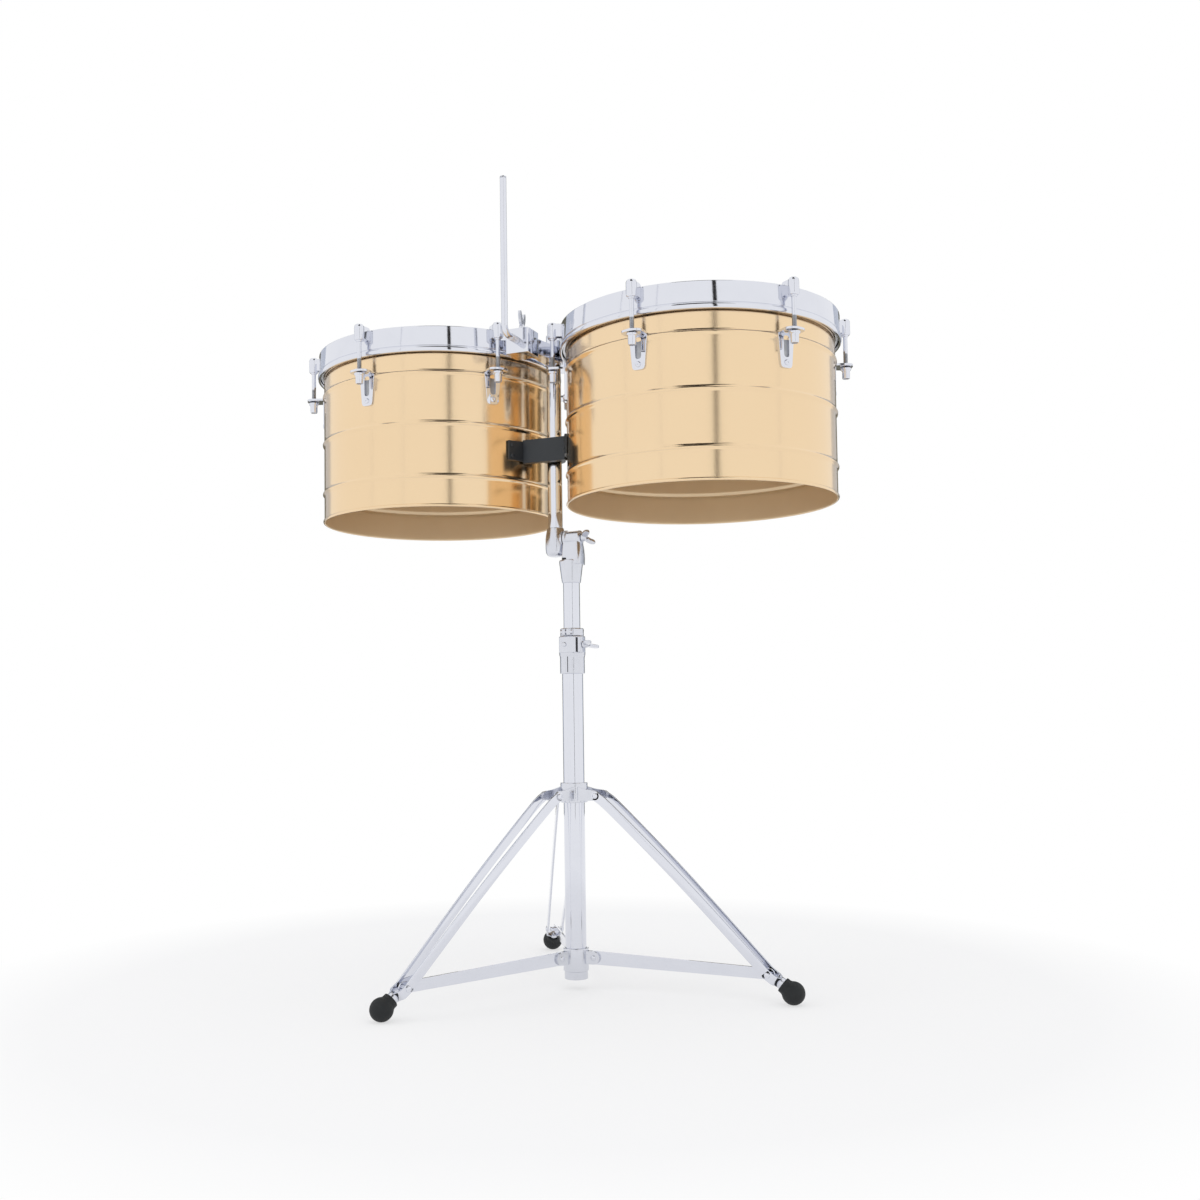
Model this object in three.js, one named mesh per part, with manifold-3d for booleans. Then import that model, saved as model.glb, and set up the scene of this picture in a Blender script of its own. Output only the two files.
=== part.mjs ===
// A pair of timbales on a folding tripod stand. Millimetres, +Z up, floor at z = 0.
// +X runs from the small drum to the large one, -Y is the audience's side, and the stand's tube is the Z axis.
import * as THREE from "three";
import { mergeVertices } from "three/addons/utils/BufferGeometryUtils.js";
import Module from "manifold-3d";

const wasm = await Module();
wasm.setup();

// Clearances
const seatGap = 0.3; // between pieces that touch or are screwed together
const pivotGap = 0.4; // round each pin, on the radius

// Drums
const smallRadius = 188.5; // shell of the 15 inch drum
const largeRadius = 201.2; // shell of the 16 inch drum
const drumGap = 53.4; // between the two shells
const drumMidX = -29; // middle of that gap
const drumLineY = 36; // the drums' centres, behind the post
const drumBottom = 724.6;
const drumHeight = 271.2; // bottom edge to hoop top
const shellWall = 1.5;
const beadProud = 2.6; // how far the shell's beads stand out
const beadWidth = 9;
const beadHeights = [46, 126, 203].map((h) => (h / 271.2) * drumHeight); // above the bottom edge
const drumSides = 36; // a multiple of the lug count, so every lug faces a flat
const tubeSides = 20; // the same for all that fit round a tube, so that gaps stay even
const smallLugTurn = 23; // degrees from +X to the first lug
const largeLugTurn = 23;

// Hoop, drumhead and lugs, measured out from the shell and down from the hoop's top
const lugCount = 6;
const headDepth = 13; // hoop top to the shell's top edge
const headThick = 1;
const hoopOut = 7.8;
const hoopWall = 2.2;
const hoopBand = 29;
const hoopFlangeOut = 10;
const hoopDeep = 38.5;
const fleshTop = 27;
const fleshDeep = 35;
const fleshOut = 4.6;
const rodOut = 21;
const rodRadius = 3.5;
const clawWidth = 17;
const clawRise = 8;
const clawDrop = 16;
const clawOut = 27;
const earDrop = 63;
const earThick = 4;
const earWidth = 34;
const earOut = 31;
const lugPlateWidth = 25;
const lugPlateDrop = 113;
const lugPlateThick = 4;
const nutRadius = 7;
const nutTall = 16;
const rodBelowNut = 8;

// Column
const postX = -25.5; // the post stands beside the tube, across the tilter
const postRadius = 11.1;
const postTop = drumBottom + drumHeight + 4.2; // a little above the hoops
const outerRadius = 15.9;
const outerWall = 1.5;
const innerRadius = 12.7;
const innerWall = 1.6;
const outerBottom = 15;
const outerTop = 500;
const innerBottom = 250;
const tilterZ = 682; // tilting axis, along X
const coneBottom = 613;
const coneTop = 648;
const cupRadius = 15.6;
const cupDrop = 27.4; // below the tilting axis
const cupRise = 17;
const bossRadius = 12.5;
const bossRight = 18;
const boltRadius = 4;
const clampBottom = 503;
const clampTop = 531;
const clampRadius = 20;
const clampFront = 24;
const clampBoltY = -17.6;
const sleeveBottom = 474;
const sleeveRadius = 18.8;
const lockTall = 12;

// Bracket between the post and the two shells
const barBottom = drumBottom + 73.4;
const barTop = barBottom + 36;
const barFront = -33;
const barBack = -22;
const padThick = 4;
const padSpan = 13; // degrees

// Accessory holder
const blockX = -42;
const blockSize = [37, 38, 37];
const blockFront = -98;
const blockBottom = postTop - 49;
const accRadius = 4.75;
const accReach = 41; // from the block's face to the upright
const accTop = blockBottom + 252;
const accBend = 13;

// Legs
const legAngles = [0, 120, 240];
const collarBottom = 279;
const collarTop = 309;
const collarRadius = 20.5;
const legPivotR = 42;
const legPivotZ = 290;
const rivetR = 297;
const rivetZ = 41;
const footR = rivetR + 34.3; // past the rivet, on the leg's line
const footZ = 16.2;
const ballRadius = 17.2;
const stripWide = 13.5;
const stripThick = 3;
const forkTop = 17.2; // half the space between a leg's two strips, at the collar
const forkRivet = 11;
const forkFoot = 1;
const pinRadius = 3;
const braceTall = 19;
const braceThick = 3;
const hubBottom = 27;
const hubTop = 61;
const hubRadius = 19.2;
const bracePivotR = 30;
const bracePivotZ = 47.5;
const knuckleRadius = 9.5;

const chrome = { color: 0xd9dce4, roughness: 0.12, metalness: 1 };
const peach = { color: 0xe9c9a4, roughness: 0.28, metalness: 0.9 };
const film = { color: 0xeeeeea, roughness: 0.5, metalness: 0 };
const black = { color: 0x24282c, roughness: 0.5, metalness: 0.2 };
const rubber = { color: 0x17191b, roughness: 0.85, metalness: 0 };

const rad = THREE.MathUtils.degToRad;
const v2 = (x, y) => new THREE.Vector2(x, y);

// A three.js geometry as a manifold-3d solid.
function solid(geometry) {
  const g = geometry.clone();
  g.deleteAttribute("normal");
  g.deleteAttribute("uv");
  const merged = mergeVertices(g, 1e-4);
  const made = new wasm.Manifold(
    new wasm.Mesh({
      numProp: 3,
      vertProperties: new Float32Array(merged.attributes.position.array),
      triVerts: new Uint32Array(merged.index.array),
    }),
  );
  if (made.volume() < 0) throw new Error("a profile runs the wrong way round");
  return made;
}

// A solid as a named mesh with its own material.
function node(name, made, look) {
  const m = made.getMesh();
  const positions = new Float32Array(m.numVert * 3);
  for (let i = 0; i < m.numVert; i++)
    positions.set(m.vertProperties.subarray(i * m.numProp, i * m.numProp + 3), i * 3);
  const g = new THREE.BufferGeometry();
  g.setAttribute("position", new THREE.BufferAttribute(positions, 3));
  g.setIndex(new THREE.BufferAttribute(new Uint32Array(m.triVerts), 1));
  g.computeVertexNormals();
  const mesh = new THREE.Mesh(g, new THREE.MeshStandardMaterial(look));
  mesh.name = name;
  return mesh;
}

// Profile points [radius, z], listed so that the solid lies on their left going up; turned round Z.
function turned(points, sides, halfStep = false) {
  const profile = points.map(([r, z]) => v2(r, z));
  if (points[0][0] !== 0) profile.push(profile[0].clone());
  const start = halfStep ? Math.PI / sides : 0;
  const g = new THREE.LatheGeometry(profile, sides, start).rotateX(Math.PI / 2);
  return solid(g);
}

const upright = (radius, bottom, top, sides = tubeSides) =>
  solid(
    new THREE.CylinderGeometry(radius, radius, top - bottom, sides)
      .rotateX(Math.PI / 2)
      .translate(0, 0, (top + bottom) / 2),
  );

const box = (x0, x1, y0, y1, z0, z1) =>
  solid(
    new THREE.BoxGeometry(x1 - x0, y1 - y0, z1 - z0).translate(
      (x0 + x1) / 2,
      (y0 + y1) / 2,
      (z0 + z1) / 2,
    ),
  );

// A cylinder along X, or along Y.
const alongX = (radius, x0, x1, y, z, sides = 16) =>
  solid(
    new THREE.CylinderGeometry(radius, radius, x1 - x0, sides)
      .rotateZ(Math.PI / 2)
      .translate((x0 + x1) / 2, y, z),
  );
const alongY = (radius, y0, y1, x, z, sides = 16) =>
  solid(
    new THREE.CylinderGeometry(radius, radius, y1 - y0, sides).translate(x, (y0 + y1) / 2, z),
  );

// A flat outline in x and z, made thick from y0 to y1.
function plateXZ(points, y0, y1) {
  const shape = new THREE.Shape(points.map(([x, z]) => v2(x, z)));
  const g = new THREE.ExtrudeGeometry(shape, { depth: y1 - y0, bevelEnabled: false });
  return solid(g.rotateX(Math.PI / 2).translate(0, y1, 0));
}

// A flat outline in x and y, made thick from z0 to z1.
function plateXY(shape, z0, z1, curve = 6) {
  const g = new THREE.ExtrudeGeometry(shape, {
    depth: z1 - z0,
    bevelEnabled: false,
    curveSegments: curve,
  });
  return solid(g.translate(0, 0, z0));
}

const joined = (first, ...others) => others.reduce((all, s) => all.add(s), first);

// A wing screw along +Z: shaft below zero, hub and two raised wings above it.
function wingScrew(shaftRadius, shaftLong, hubTall, span, rise) {
  const hub = turned(
    [
      [0, 0],
      [shaftRadius + 2.5, 0],
      [shaftRadius + 1.5, hubTall],
      [0, hubTall],
    ],
    12,
  );
  const shaft = upright(shaftRadius, -shaftLong, 1, 12);
  const half = span / 2;
  const wings = plateXZ(
    [
      [-half, rise * 0.72],
      [-half * 0.62, 0.34 * rise],
      [-shaftRadius, 0.1 * rise],
      [shaftRadius, 0.1 * rise],
      [half * 0.62, 0.34 * rise],
      [half, rise * 0.72],
      [half * 0.9, rise],
      [half * 0.5, rise * 0.96],
      [shaftRadius * 0.9, hubTall * 0.8],
      [-shaftRadius * 0.9, hubTall * 0.8],
      [-half * 0.5, rise * 0.96],
      [-half * 0.9, rise],
    ],
    -1.6,
    1.6,
  );
  return joined(hub, shaft, wings);
}

const timbales = new THREE.Group();
timbales.name = "timbales";

// One drum. Inside its group the first lug is on +X and the hoop's top is at drumHeight.
function drum(size, radius, lugTurn, centreX) {
  const group = new THREE.Group();
  group.name = size + "_drum";
  group.position.set(centreX, drumLineY, drumBottom);
  group.rotation.z = rad(lugTurn);
  const flat = Math.cos(Math.PI / drumSides); // a flat's distance over a corner's
  const shellTop = drumHeight - headDepth;
  const inner = radius - shellWall;

  // Shell: outside going up over the beads, over the top edge, and straight down the inside.
  const outside = [
    [radius + 1.8, 0],
    [radius + 1.8, 3.2],
    [radius, 4.4],
  ];
  const inside = [[inner, 0]];
  for (const h of beadHeights) {
    outside.push([radius, h - beadWidth / 2], [radius + beadProud, h - beadWidth / 5]);
    outside.push([radius + beadProud, h + beadWidth / 5], [radius, h + beadWidth / 2]);
  }
  outside.push([radius, shellTop]);
  inside.push([inner, shellTop]);
  let shell = turned([...outside, ...inside.reverse()], drumSides, true);

  // Lug bracket: a plate on the shell and an ear with a hole for the tension rod.
  const face = radius * flat;
  const earTop = drumHeight - earDrop;
  const rodX = (radius + rodOut) * flat;
  const w = lugPlateWidth / 2;
  const ear = new THREE.Shape();
  ear.moveTo(face - 0.8, -earWidth / 2);
  ear.lineTo(face + earOut - 12, -earWidth / 2);
  ear.absarc(face + earOut - 12, -earWidth / 2 + 12, 12, -Math.PI / 2, 0);
  ear.absarc(face + earOut - 12, earWidth / 2 - 12, 12, 0, Math.PI / 2);
  ear.lineTo(face - 0.8, earWidth / 2);
  const plate = plateXZ(
    [
      [face - 0.8, drumHeight - lugPlateDrop],
      [face + lugPlateThick, drumHeight - lugPlateDrop + 2],
      [face + lugPlateThick, earTop - 16],
      [face + lugPlateThick + 8, earTop - earThick + 0.5],
      [face - 0.8, earTop - earThick + 0.5],
    ],
    -w,
    w,
  );
  const hole = upright(rodRadius + pivotGap, earTop - 30, earTop + 5, 8).translate([rodX, 0, 0]);
  const bracket = joined(plateXY(ear, earTop - earThick, earTop, 2), plate).subtract(hole);

  // Claw, seen from the side: over the hoop's top edge, with a lip inside it; the rod hangs under it.
  const hoopFace = (radius + hoopOut) * flat + seatGap;
  const lip = (radius + hoopOut - hoopWall) * flat - seatGap - 0.2;
  const out = (radius + clawOut) * flat;
  const top = drumHeight;
  const claw = plateXZ(
    [
      [lip - 3.2, top - 6],
      [lip, top - 6],
      [lip, top + seatGap],
      [hoopFace, top + seatGap],
      [hoopFace, top - clawDrop],
      [out - 1.5, top - clawDrop],
      [out, top - clawDrop + 2],
      [out, top + clawRise - 6],
      [out - 4, top + clawRise - 1],
      [lip + 1, top + clawRise],
      [lip - 3.2, top + clawRise - 3],
    ],
    -clawWidth / 2,
    clawWidth / 2,
  );
  const nutTop = earTop - earThick - seatGap;
  const rodEnd = nutTop - nutTall - rodBelowNut;
  const rod = upright(rodRadius, rodEnd, top - clawDrop + 1, 8).translate([rodX, 0, 0]);
  const hook = joined(claw, rod);

  // Tuning nut: a flange under the ear and a round body, bored for the rod.
  const nut = turned(
    [
      [rodRadius + seatGap, nutTop - nutTall],
      [nutRadius - 1.5, nutTop - nutTall],
      [nutRadius - 1.2, nutTop - 3],
      [nutRadius + 1, nutTop - 3],
      [nutRadius + 1, nutTop],
      [rodRadius + seatGap, nutTop],
    ],
    8,
  );

  for (let k = 0; k < lugCount; k++) {
    const turn = k * (360 / lugCount);
    shell = shell.add(bracket.rotate([0, 0, turn]));
    const h = node(size + "_hook_" + (k + 1), hook, chrome);
    h.rotation.z = rad(turn);
    const n = node(size + "_nut_" + (k + 1), nut, chrome);
    n.position.set(rodX * Math.cos(rad(turn)), rodX * Math.sin(rad(turn)), 0);
    n.rotation.z = rad(turn);
    group.add(h, n);
  }
  group.add(node(size + "_shell", shell, peach));

  // Drumhead: film over the shell's edge, a short collar, and the flesh hoop it is fixed to.
  const filmBottom = shellTop + seatGap;
  const head = turned(
    [
      [0, filmBottom],
      [radius + 0.5, filmBottom],
      [radius + 0.5, drumHeight - fleshDeep],
      [radius + fleshOut, drumHeight - fleshDeep],
      [radius + fleshOut, drumHeight - fleshTop],
      [radius + 1.5, drumHeight - fleshTop],
      [radius + 1.5, filmBottom + headThick * 0.4],
      [radius, filmBottom + headThick],
      [0, filmBottom + headThick],
    ],
    drumSides,
    true,
  );
  group.add(node(size + "_head", head, film));

  // Hoop: a tall band with a ledge on the flesh hoop and a rounded flange round the bottom.
  const band = radius + hoopOut - hoopWall;
  const ledge = drumHeight - fleshTop + seatGap;
  const hoop = turned(
    [
      [band, drumHeight - hoopDeep],
      [radius + hoopFlangeOut - 1.5, drumHeight - hoopDeep],
      [radius + hoopFlangeOut, drumHeight - hoopDeep + 2],
      [radius + hoopFlangeOut, drumHeight - hoopBand - 3],
      [radius + hoopOut, drumHeight - hoopBand],
      [radius + hoopOut, drumHeight - 0.6],
      [radius + hoopOut - 0.6, drumHeight],
      [band, drumHeight],
      [band, ledge + 2],
      [radius + 2, ledge + 2],
      [radius + 2, ledge],
      [band, ledge],
    ],
    drumSides,
    true,
  );
  group.add(node(size + "_hoop", hoop, chrome));
  return group;
}

const smallX = drumMidX - drumGap / 2 - smallRadius;
const largeX = drumMidX + drumGap / 2 + largeRadius;
timbales.add(drum("small", smallRadius, smallLugTurn, smallX));
timbales.add(drum("large", largeRadius, largeLugTurn, largeX));

// Bracket: a bar across the front of the post, a block gripping it, and a curved pad on each shell.
function pad(radius, centreX, middle) {
  const a = rad(middle - padSpan / 2);
  const b = rad(middle + padSpan / 2);
  const shape = new THREE.Shape();
  shape.absarc(0, 0, radius + seatGap + padThick, a, b, false);
  shape.absarc(0, 0, radius - 1, b, a, true);
  return plateXY(shape, barBottom + 3, barTop - 3, 4).translate([centreX, drumLineY, 0]);
}
const reachDown = drumLineY - (barFront + barBack) / 2;
const smallPad = (-Math.asin(reachDown / smallRadius) * 180) / Math.PI;
const largePad = 180 + (Math.asin(reachDown / largeRadius) * 180) / Math.PI;
const smallBarX = smallX + Math.sqrt(smallRadius ** 2 - reachDown ** 2);
const largeBarX = largeX - Math.sqrt(largeRadius ** 2 - reachDown ** 2);
const grip = postRadius + 6;
const bracket = joined(
  box(smallBarX - 1, largeBarX + 1, barFront, barBack, barBottom, barTop),
  pad(smallRadius, smallX, smallPad - 3),
  pad(largeRadius, largeX, largePad + 3),
  box(postX - grip, postX + grip, barBack - 1, postRadius + 5, barBottom + 4, barTop - 4),
)
  .subtract(upright(smallRadius + seatGap, barBottom - 10, barTop + 10, 96).translate([smallX, drumLineY, 0]))
  .subtract(upright(largeRadius + seatGap, barBottom - 10, barTop + 10, 96).translate([largeX, drumLineY, 0]))
  .subtract(upright(postRadius + seatGap, barBottom - 10, barTop + 10, tubeSides).translate([postX, 0, 0]));
timbales.add(node("bar_bracket", bracket, black));

// Post, standing in the tilter's upper half.
const cupInside = tilterZ + 6;
const post = turned(
  [
    [0, cupInside + seatGap],
    [postRadius, cupInside + seatGap],
    [postRadius, postTop - 2],
    [postRadius - 1.5, postTop],
    [0, postTop],
  ],
  tubeSides,
);
const postMesh = node("post", post, chrome);
postMesh.position.x = postX;
timbales.add(postMesh);

// Tilter. The upper half is a cup under the post; its right side meets the lower half's boss.
const cupRight = postX + cupRadius;
const cup = turned(
  [
    [0, tilterZ - cupDrop],
    [cupRadius - 5, tilterZ - cupDrop],
    [cupRadius - 1, tilterZ - cupDrop + 4],
    [cupRadius, tilterZ - cupDrop + 10],
    [cupRadius, tilterZ + cupRise - 8],
    [postRadius + 1.8, tilterZ + cupRise],
    [postRadius + seatGap, tilterZ + cupRise],
    [postRadius + seatGap, cupInside],
    [0, cupInside],
  ],
  tubeSides,
).translate([postX, 0, 0]);
const upperTilter = joined(cup, alongX(bossRadius, postX + 12, cupRight - 0.2, 0, tilterZ))
  .subtract(upright(postRadius + seatGap, cupInside, tilterZ + 40, tubeSides).translate([postX, 0, 0]))
  .subtract(alongX(boltRadius + pivotGap, postX + 5, cupRight + 5, 0, tilterZ, 16));
timbales.add(node("tilter_upper", upperTilter, chrome));

const bossLeft = cupRight + seatGap;
const socket = turned(
  [
    [0, coneBottom + 12],
    [innerRadius + seatGap, coneBottom + 12],
    [innerRadius + seatGap, coneBottom],
    [innerRadius + 1.3, coneBottom],
    [innerRadius + 1.9, coneBottom + 3],
    [clampRadius - 1.5, coneTop],
    [0, coneTop],
  ],
  tubeSides,
);
const neck = plateXZ(
  [
    [bossLeft, coneTop - 6],
    [clampRadius - 2.5, coneTop - 6],
    [bossRight, tilterZ - 2],
    [bossLeft, tilterZ - 2],
  ],
  -bossRadius + 2,
  bossRadius - 2,
);
const lowerTilter = joined(socket, neck, alongX(bossRadius, bossLeft, bossRight, 0, tilterZ)).subtract(
  alongX(boltRadius + pivotGap, bossLeft - 5, bossRight + 5, 0, tilterZ, 16),
);
timbales.add(node("tilter_lower", lowerTilter, chrome));

// The wing screw that locks the tilter lies on the tilting axis.
const tilterScrew = node(
  "tilter_screw",
  wingScrew(boltRadius, bossRight - postX - 10, 7, 34, 17),
  chrome,
);
tilterScrew.rotation.set(0, rad(90), rad(62), "YXZ");
tilterScrew.position.set(bossRight + seatGap, 0, tilterZ);
timbales.add(tilterScrew);

// Inner tube, its memory lock, the height clamp and the outer tube.
const innerTube = turned(
  [
    [innerRadius - innerWall, innerBottom],
    [innerRadius, innerBottom],
    [innerRadius, coneBottom + 12 - seatGap],
    [innerRadius - innerWall, coneBottom + 12 - seatGap],
  ],
  tubeSides,
);
timbales.add(node("inner_tube", innerTube, chrome));

const lockBottom = clampTop + seatGap;
const lock = joined(
  turned(
    [
      [innerRadius + seatGap, lockBottom],
      [clampRadius - 2, lockBottom],
      [clampRadius - 2, lockBottom + lockTall - 2],
      [clampRadius - 4, lockBottom + lockTall],
      [innerRadius + seatGap, lockBottom + lockTall],
    ],
    tubeSides,
  ),
  box(-7, 7, -clampRadius - 5, -innerRadius - 2, lockBottom + 1, lockBottom + lockTall - 2),
).subtract(box(-1, 1, -clampRadius - 6, -innerRadius, lockBottom - 1, lockBottom + lockTall + 1));
timbales.add(node("memory_lock", lock, chrome));

const earRight = clampRadius + 5;
const clampBlock = box(-13, earRight, -clampFront, -3, clampBottom + 3, clampTop - 2);
const clampBore = upright(innerRadius + seatGap, sleeveBottom - 1, clampTop + 5, tubeSides);
const clamp = joined(
  turned(
    [
      [0, sleeveBottom],
      [sleeveRadius - 0.8, sleeveBottom],
      [sleeveRadius, sleeveBottom + 1],
      [sleeveRadius, clampBottom - 2],
      [clampRadius, clampBottom],
      [clampRadius, clampTop],
      [0, clampTop],
    ],
    tubeSides,
  ),
  clampBlock,
)
  .subtract(clampBore)
  .subtract(upright(outerRadius + seatGap, sleeveBottom - 1, outerTop + seatGap, tubeSides))
  .subtract(box(16, 18.5, -clampFront - 1, -7, clampBottom + 1, clampTop + 1))
  .subtract(alongX(3 + pivotGap, -4, earRight + 1, clampBoltY, (clampTop + clampBottom) / 2, 12));
timbales.add(node("height_clamp", clamp, chrome));

const clampScrew = node("height_screw", wingScrew(3, earRight - 2, 6, 40, 19), chrome);
clampScrew.rotation.set(0, rad(90), rad(80), "YXZ");
clampScrew.position.set(earRight + seatGap, clampBoltY, (clampTop + clampBottom) / 2);
timbales.add(clampScrew);

const outerTube = turned(
  [
    [outerRadius - outerWall, outerBottom],
    [outerRadius, outerBottom],
    [outerRadius, outerTop],
    [outerRadius - outerWall, outerTop],
  ],
  tubeSides,
);
timbales.add(node("outer_tube", outerTube, chrome));

// Accessory holder: an arm from a ring on the post, the block, its screw, and the bent rod it grips.
const blockTop = blockBottom + blockSize[2];
const rodZ = blockBottom + blockSize[2] / 2;
const blockBack = blockFront + blockSize[1];
const armRing = postRadius + 3.4;
const arm = new THREE.Shape();
arm.moveTo(blockX, blockBack - 2);
arm.lineTo(blockX + blockSize[0] / 2, blockBack - 2);
arm.lineTo(postX + armRing, 0);
arm.absarc(postX, 0, armRing, 0, Math.PI, false);
const holder = joined(
  box(
    blockX - blockSize[0] / 2,
    blockX + blockSize[0] / 2,
    blockFront,
    blockBack,
    blockBottom,
    blockTop,
  ),
  plateXY(arm, blockBottom + 5, blockTop - 9, 10),
)
  .subtract(upright(postRadius + seatGap, blockBottom - 10, blockTop + 10, tubeSides).translate([postX, 0, 0]))
  .subtract(alongY(accRadius + pivotGap, blockFront - 1, blockBack - 6, blockX, rodZ, 16))
  .subtract(upright(3 + pivotGap, rodZ + accRadius + 1, blockTop + 1, 12).translate([blockX, blockFront + blockSize[1] / 2, 0]));
timbales.add(node("accessory_block", holder, chrome));

const accScrew = node("accessory_screw", wingScrew(3, blockTop - rodZ - accRadius - 2.5, 6, 26, 30), chrome);
accScrew.rotation.z = rad(70);
accScrew.position.set(blockX, blockFront + blockSize[1] / 2, blockTop + seatGap);
timbales.add(accScrew);

const accY = blockFront - accReach;
const accPath = new THREE.CurvePath();
const bendStart = new THREE.Vector3(blockX, accY + accBend, rodZ);
const bendEnd = new THREE.Vector3(blockX, accY, rodZ + accBend);
const corner = new THREE.Vector3(blockX, accY, rodZ);
const ring = new THREE.Shape();
ring.absarc(0, 0, accRadius, 0, 2 * Math.PI);
const bend = new THREE.QuadraticBezierCurve3(bendStart, corner, bendEnd);
const accRod = joined(
  solid(
    new THREE.ExtrudeGeometry(ring, {
      steps: 6,
      extrudePath: bend,
      curveSegments: 6,
      bevelEnabled: false,
    }),
  ),
  alongY(accRadius, accY + accBend - 0.5, blockBack - 8, blockX, rodZ, 12),
  upright(accRadius, rodZ + accBend - 0.5, accTop, 12).translate([blockX, accY, 0]),
);
timbales.add(node("accessory_rod", accRod, chrome));

// Leg collar: a ring round the tube with a pair of ears for each leg.
const earHalf = forkTop - seatGap; // outside of the ears
let collar = turned(
  [
    [0, collarBottom],
    [collarRadius - 1, collarBottom],
    [collarRadius, collarBottom + 1],
    [collarRadius, collarTop - 1],
    [collarRadius - 1, collarTop],
    [0, collarTop],
  ],
  tubeSides,
);
for (const a of legAngles) {
  const outline = [
    [10, legPivotZ - 9],
    [legPivotR, legPivotZ - 7],
    [legPivotR + 6, legPivotZ - 3],
    [legPivotR + 6, legPivotZ + 3],
    [legPivotR, legPivotZ + 7],
    [10, legPivotZ + 13],
  ];
  for (const side of [-1, 1]) {
    const inner = Math.min(side * earHalf, side * (earHalf - 3));
    collar = collar.add(plateXZ(outline, inner, inner + 3).rotate([0, 0, a]));
  }
  // The pin ends flush with the ears, so the leg's strips can pass them while the legs fold.
  collar = collar.add(alongY(pinRadius, -earHalf, earHalf, legPivotR, legPivotZ, 12).rotate([0, 0, a]));
}
collar = collar.subtract(upright(outerRadius + seatGap, collarBottom - 10, collarTop + 10, tubeSides));
timbales.add(node("leg_collar", collar, chrome));

// Hub: a sleeve on the foot of the tube with a pair of ears and a pin for each brace.
let hub = turned(
  [
    [0, outerBottom],
    [hubRadius - 1.5, outerBottom],
    [hubRadius - 1.5, hubBottom],
    [hubRadius, hubBottom],
    [hubRadius, hubTop],
    [0, hubTop],
  ],
  tubeSides,
);
for (const a of legAngles) {
  const earIn = braceThick / 2 + seatGap;
  const outline = [];
  for (let i = -4; i <= 4; i++)
    outline.push([
      bracePivotR + knuckleRadius * Math.cos((i * Math.PI) / 8),
      bracePivotZ + knuckleRadius * Math.sin((i * Math.PI) / 8),
    ]);
  const shape = [[10, bracePivotZ - knuckleRadius], ...outline, [10, bracePivotZ + knuckleRadius]];
  hub = joined(
    hub,
    plateXZ(shape, -earIn - 4, -earIn).rotate([0, 0, a]),
    plateXZ(shape, earIn, earIn + 4).rotate([0, 0, a]),
    alongY(pinRadius, -earIn - 5.5, earIn + 5.5, bracePivotR, bracePivotZ, 12).rotate([0, 0, a]),
  );
}
hub = hub.subtract(upright(outerRadius + seatGap, 0, hubTop + 10, tubeSides));
timbales.add(node("hub", hub, chrome));

// A leg's middle line, out and down from the collar to the foot, in r and z.
const legLine = new THREE.CatmullRomCurve3(
  [
    [legPivotR, legPivotZ],
    [legPivotR + 26, legPivotZ - 21],
    [legPivotR + 0.5 * (rivetR - legPivotR), legPivotZ - 0.475 * (legPivotZ - rivetZ)],
    [rivetR - 14, rivetZ + 14],
    [rivetR, rivetZ],
    [footR - 16.6, footZ + 12.45],
  ].map(([r, z]) => new THREE.Vector3(r, 0, z)),
);
const forkHalf = (r) => {
  const flatEnd = rivetR + 9; // the strips run parallel past the rivet
  if (r <= flatEnd) {
    const t = (r - legPivotR - 12) / (rivetR - 16 - legPivotR - 12);
    return forkTop + (forkRivet - forkTop) * Math.max(0, Math.min(1, t));
  }
  const t = Math.min(1, (r - flatEnd) / (footR - 18 - flatEnd));
  return forkRivet + (forkFoot - forkRivet) * t;
};
function strip(side) {
  const upper = [];
  const lower = [];
  const steps = 15;
  for (let i = 0; i <= steps; i++) {
    const p = legLine.getPoint(i / steps);
    const d = legLine.getTangent(i / steps);
    const half = stripWide / 2;
    upper.push([p.x - d.z * half, p.z + d.x * half]);
    lower.push([p.x + d.z * half, p.z - d.x * half]);
  }
  // The top end is rounded about the pivot.
  const d = legLine.getTangent(0);
  const end = Math.atan2(d.z, d.x);
  const round = [];
  for (let i = 1; i < 6; i++) {
    const a = end - Math.PI / 2 - (i * Math.PI) / 6;
    round.push([
      legPivotR + (stripWide / 2) * Math.cos(a),
      legPivotZ + (stripWide / 2) * Math.sin(a),
    ]);
  }
  const outline = [...upper.reverse(), ...round.reverse(), ...lower];
  const shape = new THREE.Shape(outline.map(([x, z]) => v2(x, z)));
  const g = new THREE.ExtrudeGeometry(shape, { depth: stripThick, bevelEnabled: false });
  g.rotateX(Math.PI / 2).translate(0, side > 0 ? stripThick : 0, 0);
  const at = g.getAttribute("position");
  for (let i = 0; i < at.count; i++) at.setY(i, at.getY(i) + side * forkHalf(at.getX(i)));
  return solid(g);
}

const footLine = new THREE.Vector3(20, 0, -15).normalize(); // the foot's axis, pointing out and down
const intoFoot = new THREE.Quaternion().setFromUnitVectors(
  new THREE.Vector3(0, 0, 1),
  footLine.clone().negate(),
);
const ferruleRadius = 8.6;
const atFoot = (made) => {
  const turn = new THREE.Matrix4().compose(
    new THREE.Vector3(footR, 0, footZ),
    intoFoot,
    new THREE.Vector3(1, 1, 1),
  );
  return made.transform(turn.toArray());
};

// A rivet's head on the outside of each strip.
const rivetHead = (half, r, z) => {
  const face = half + stripThick;
  return alongY(5, face - 0.5, face + 2, r, z, 10).add(alongY(5, -face - 2, -face + 0.5, r, z, 10));
};
const leg = joined(
  strip(1),
  strip(-1),
  rivetHead(forkTop, legPivotR, legPivotZ),
  rivetHead(forkRivet, rivetR, rivetZ),
  atFoot(upright(ferruleRadius, 2, 26, 16)),
);

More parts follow.
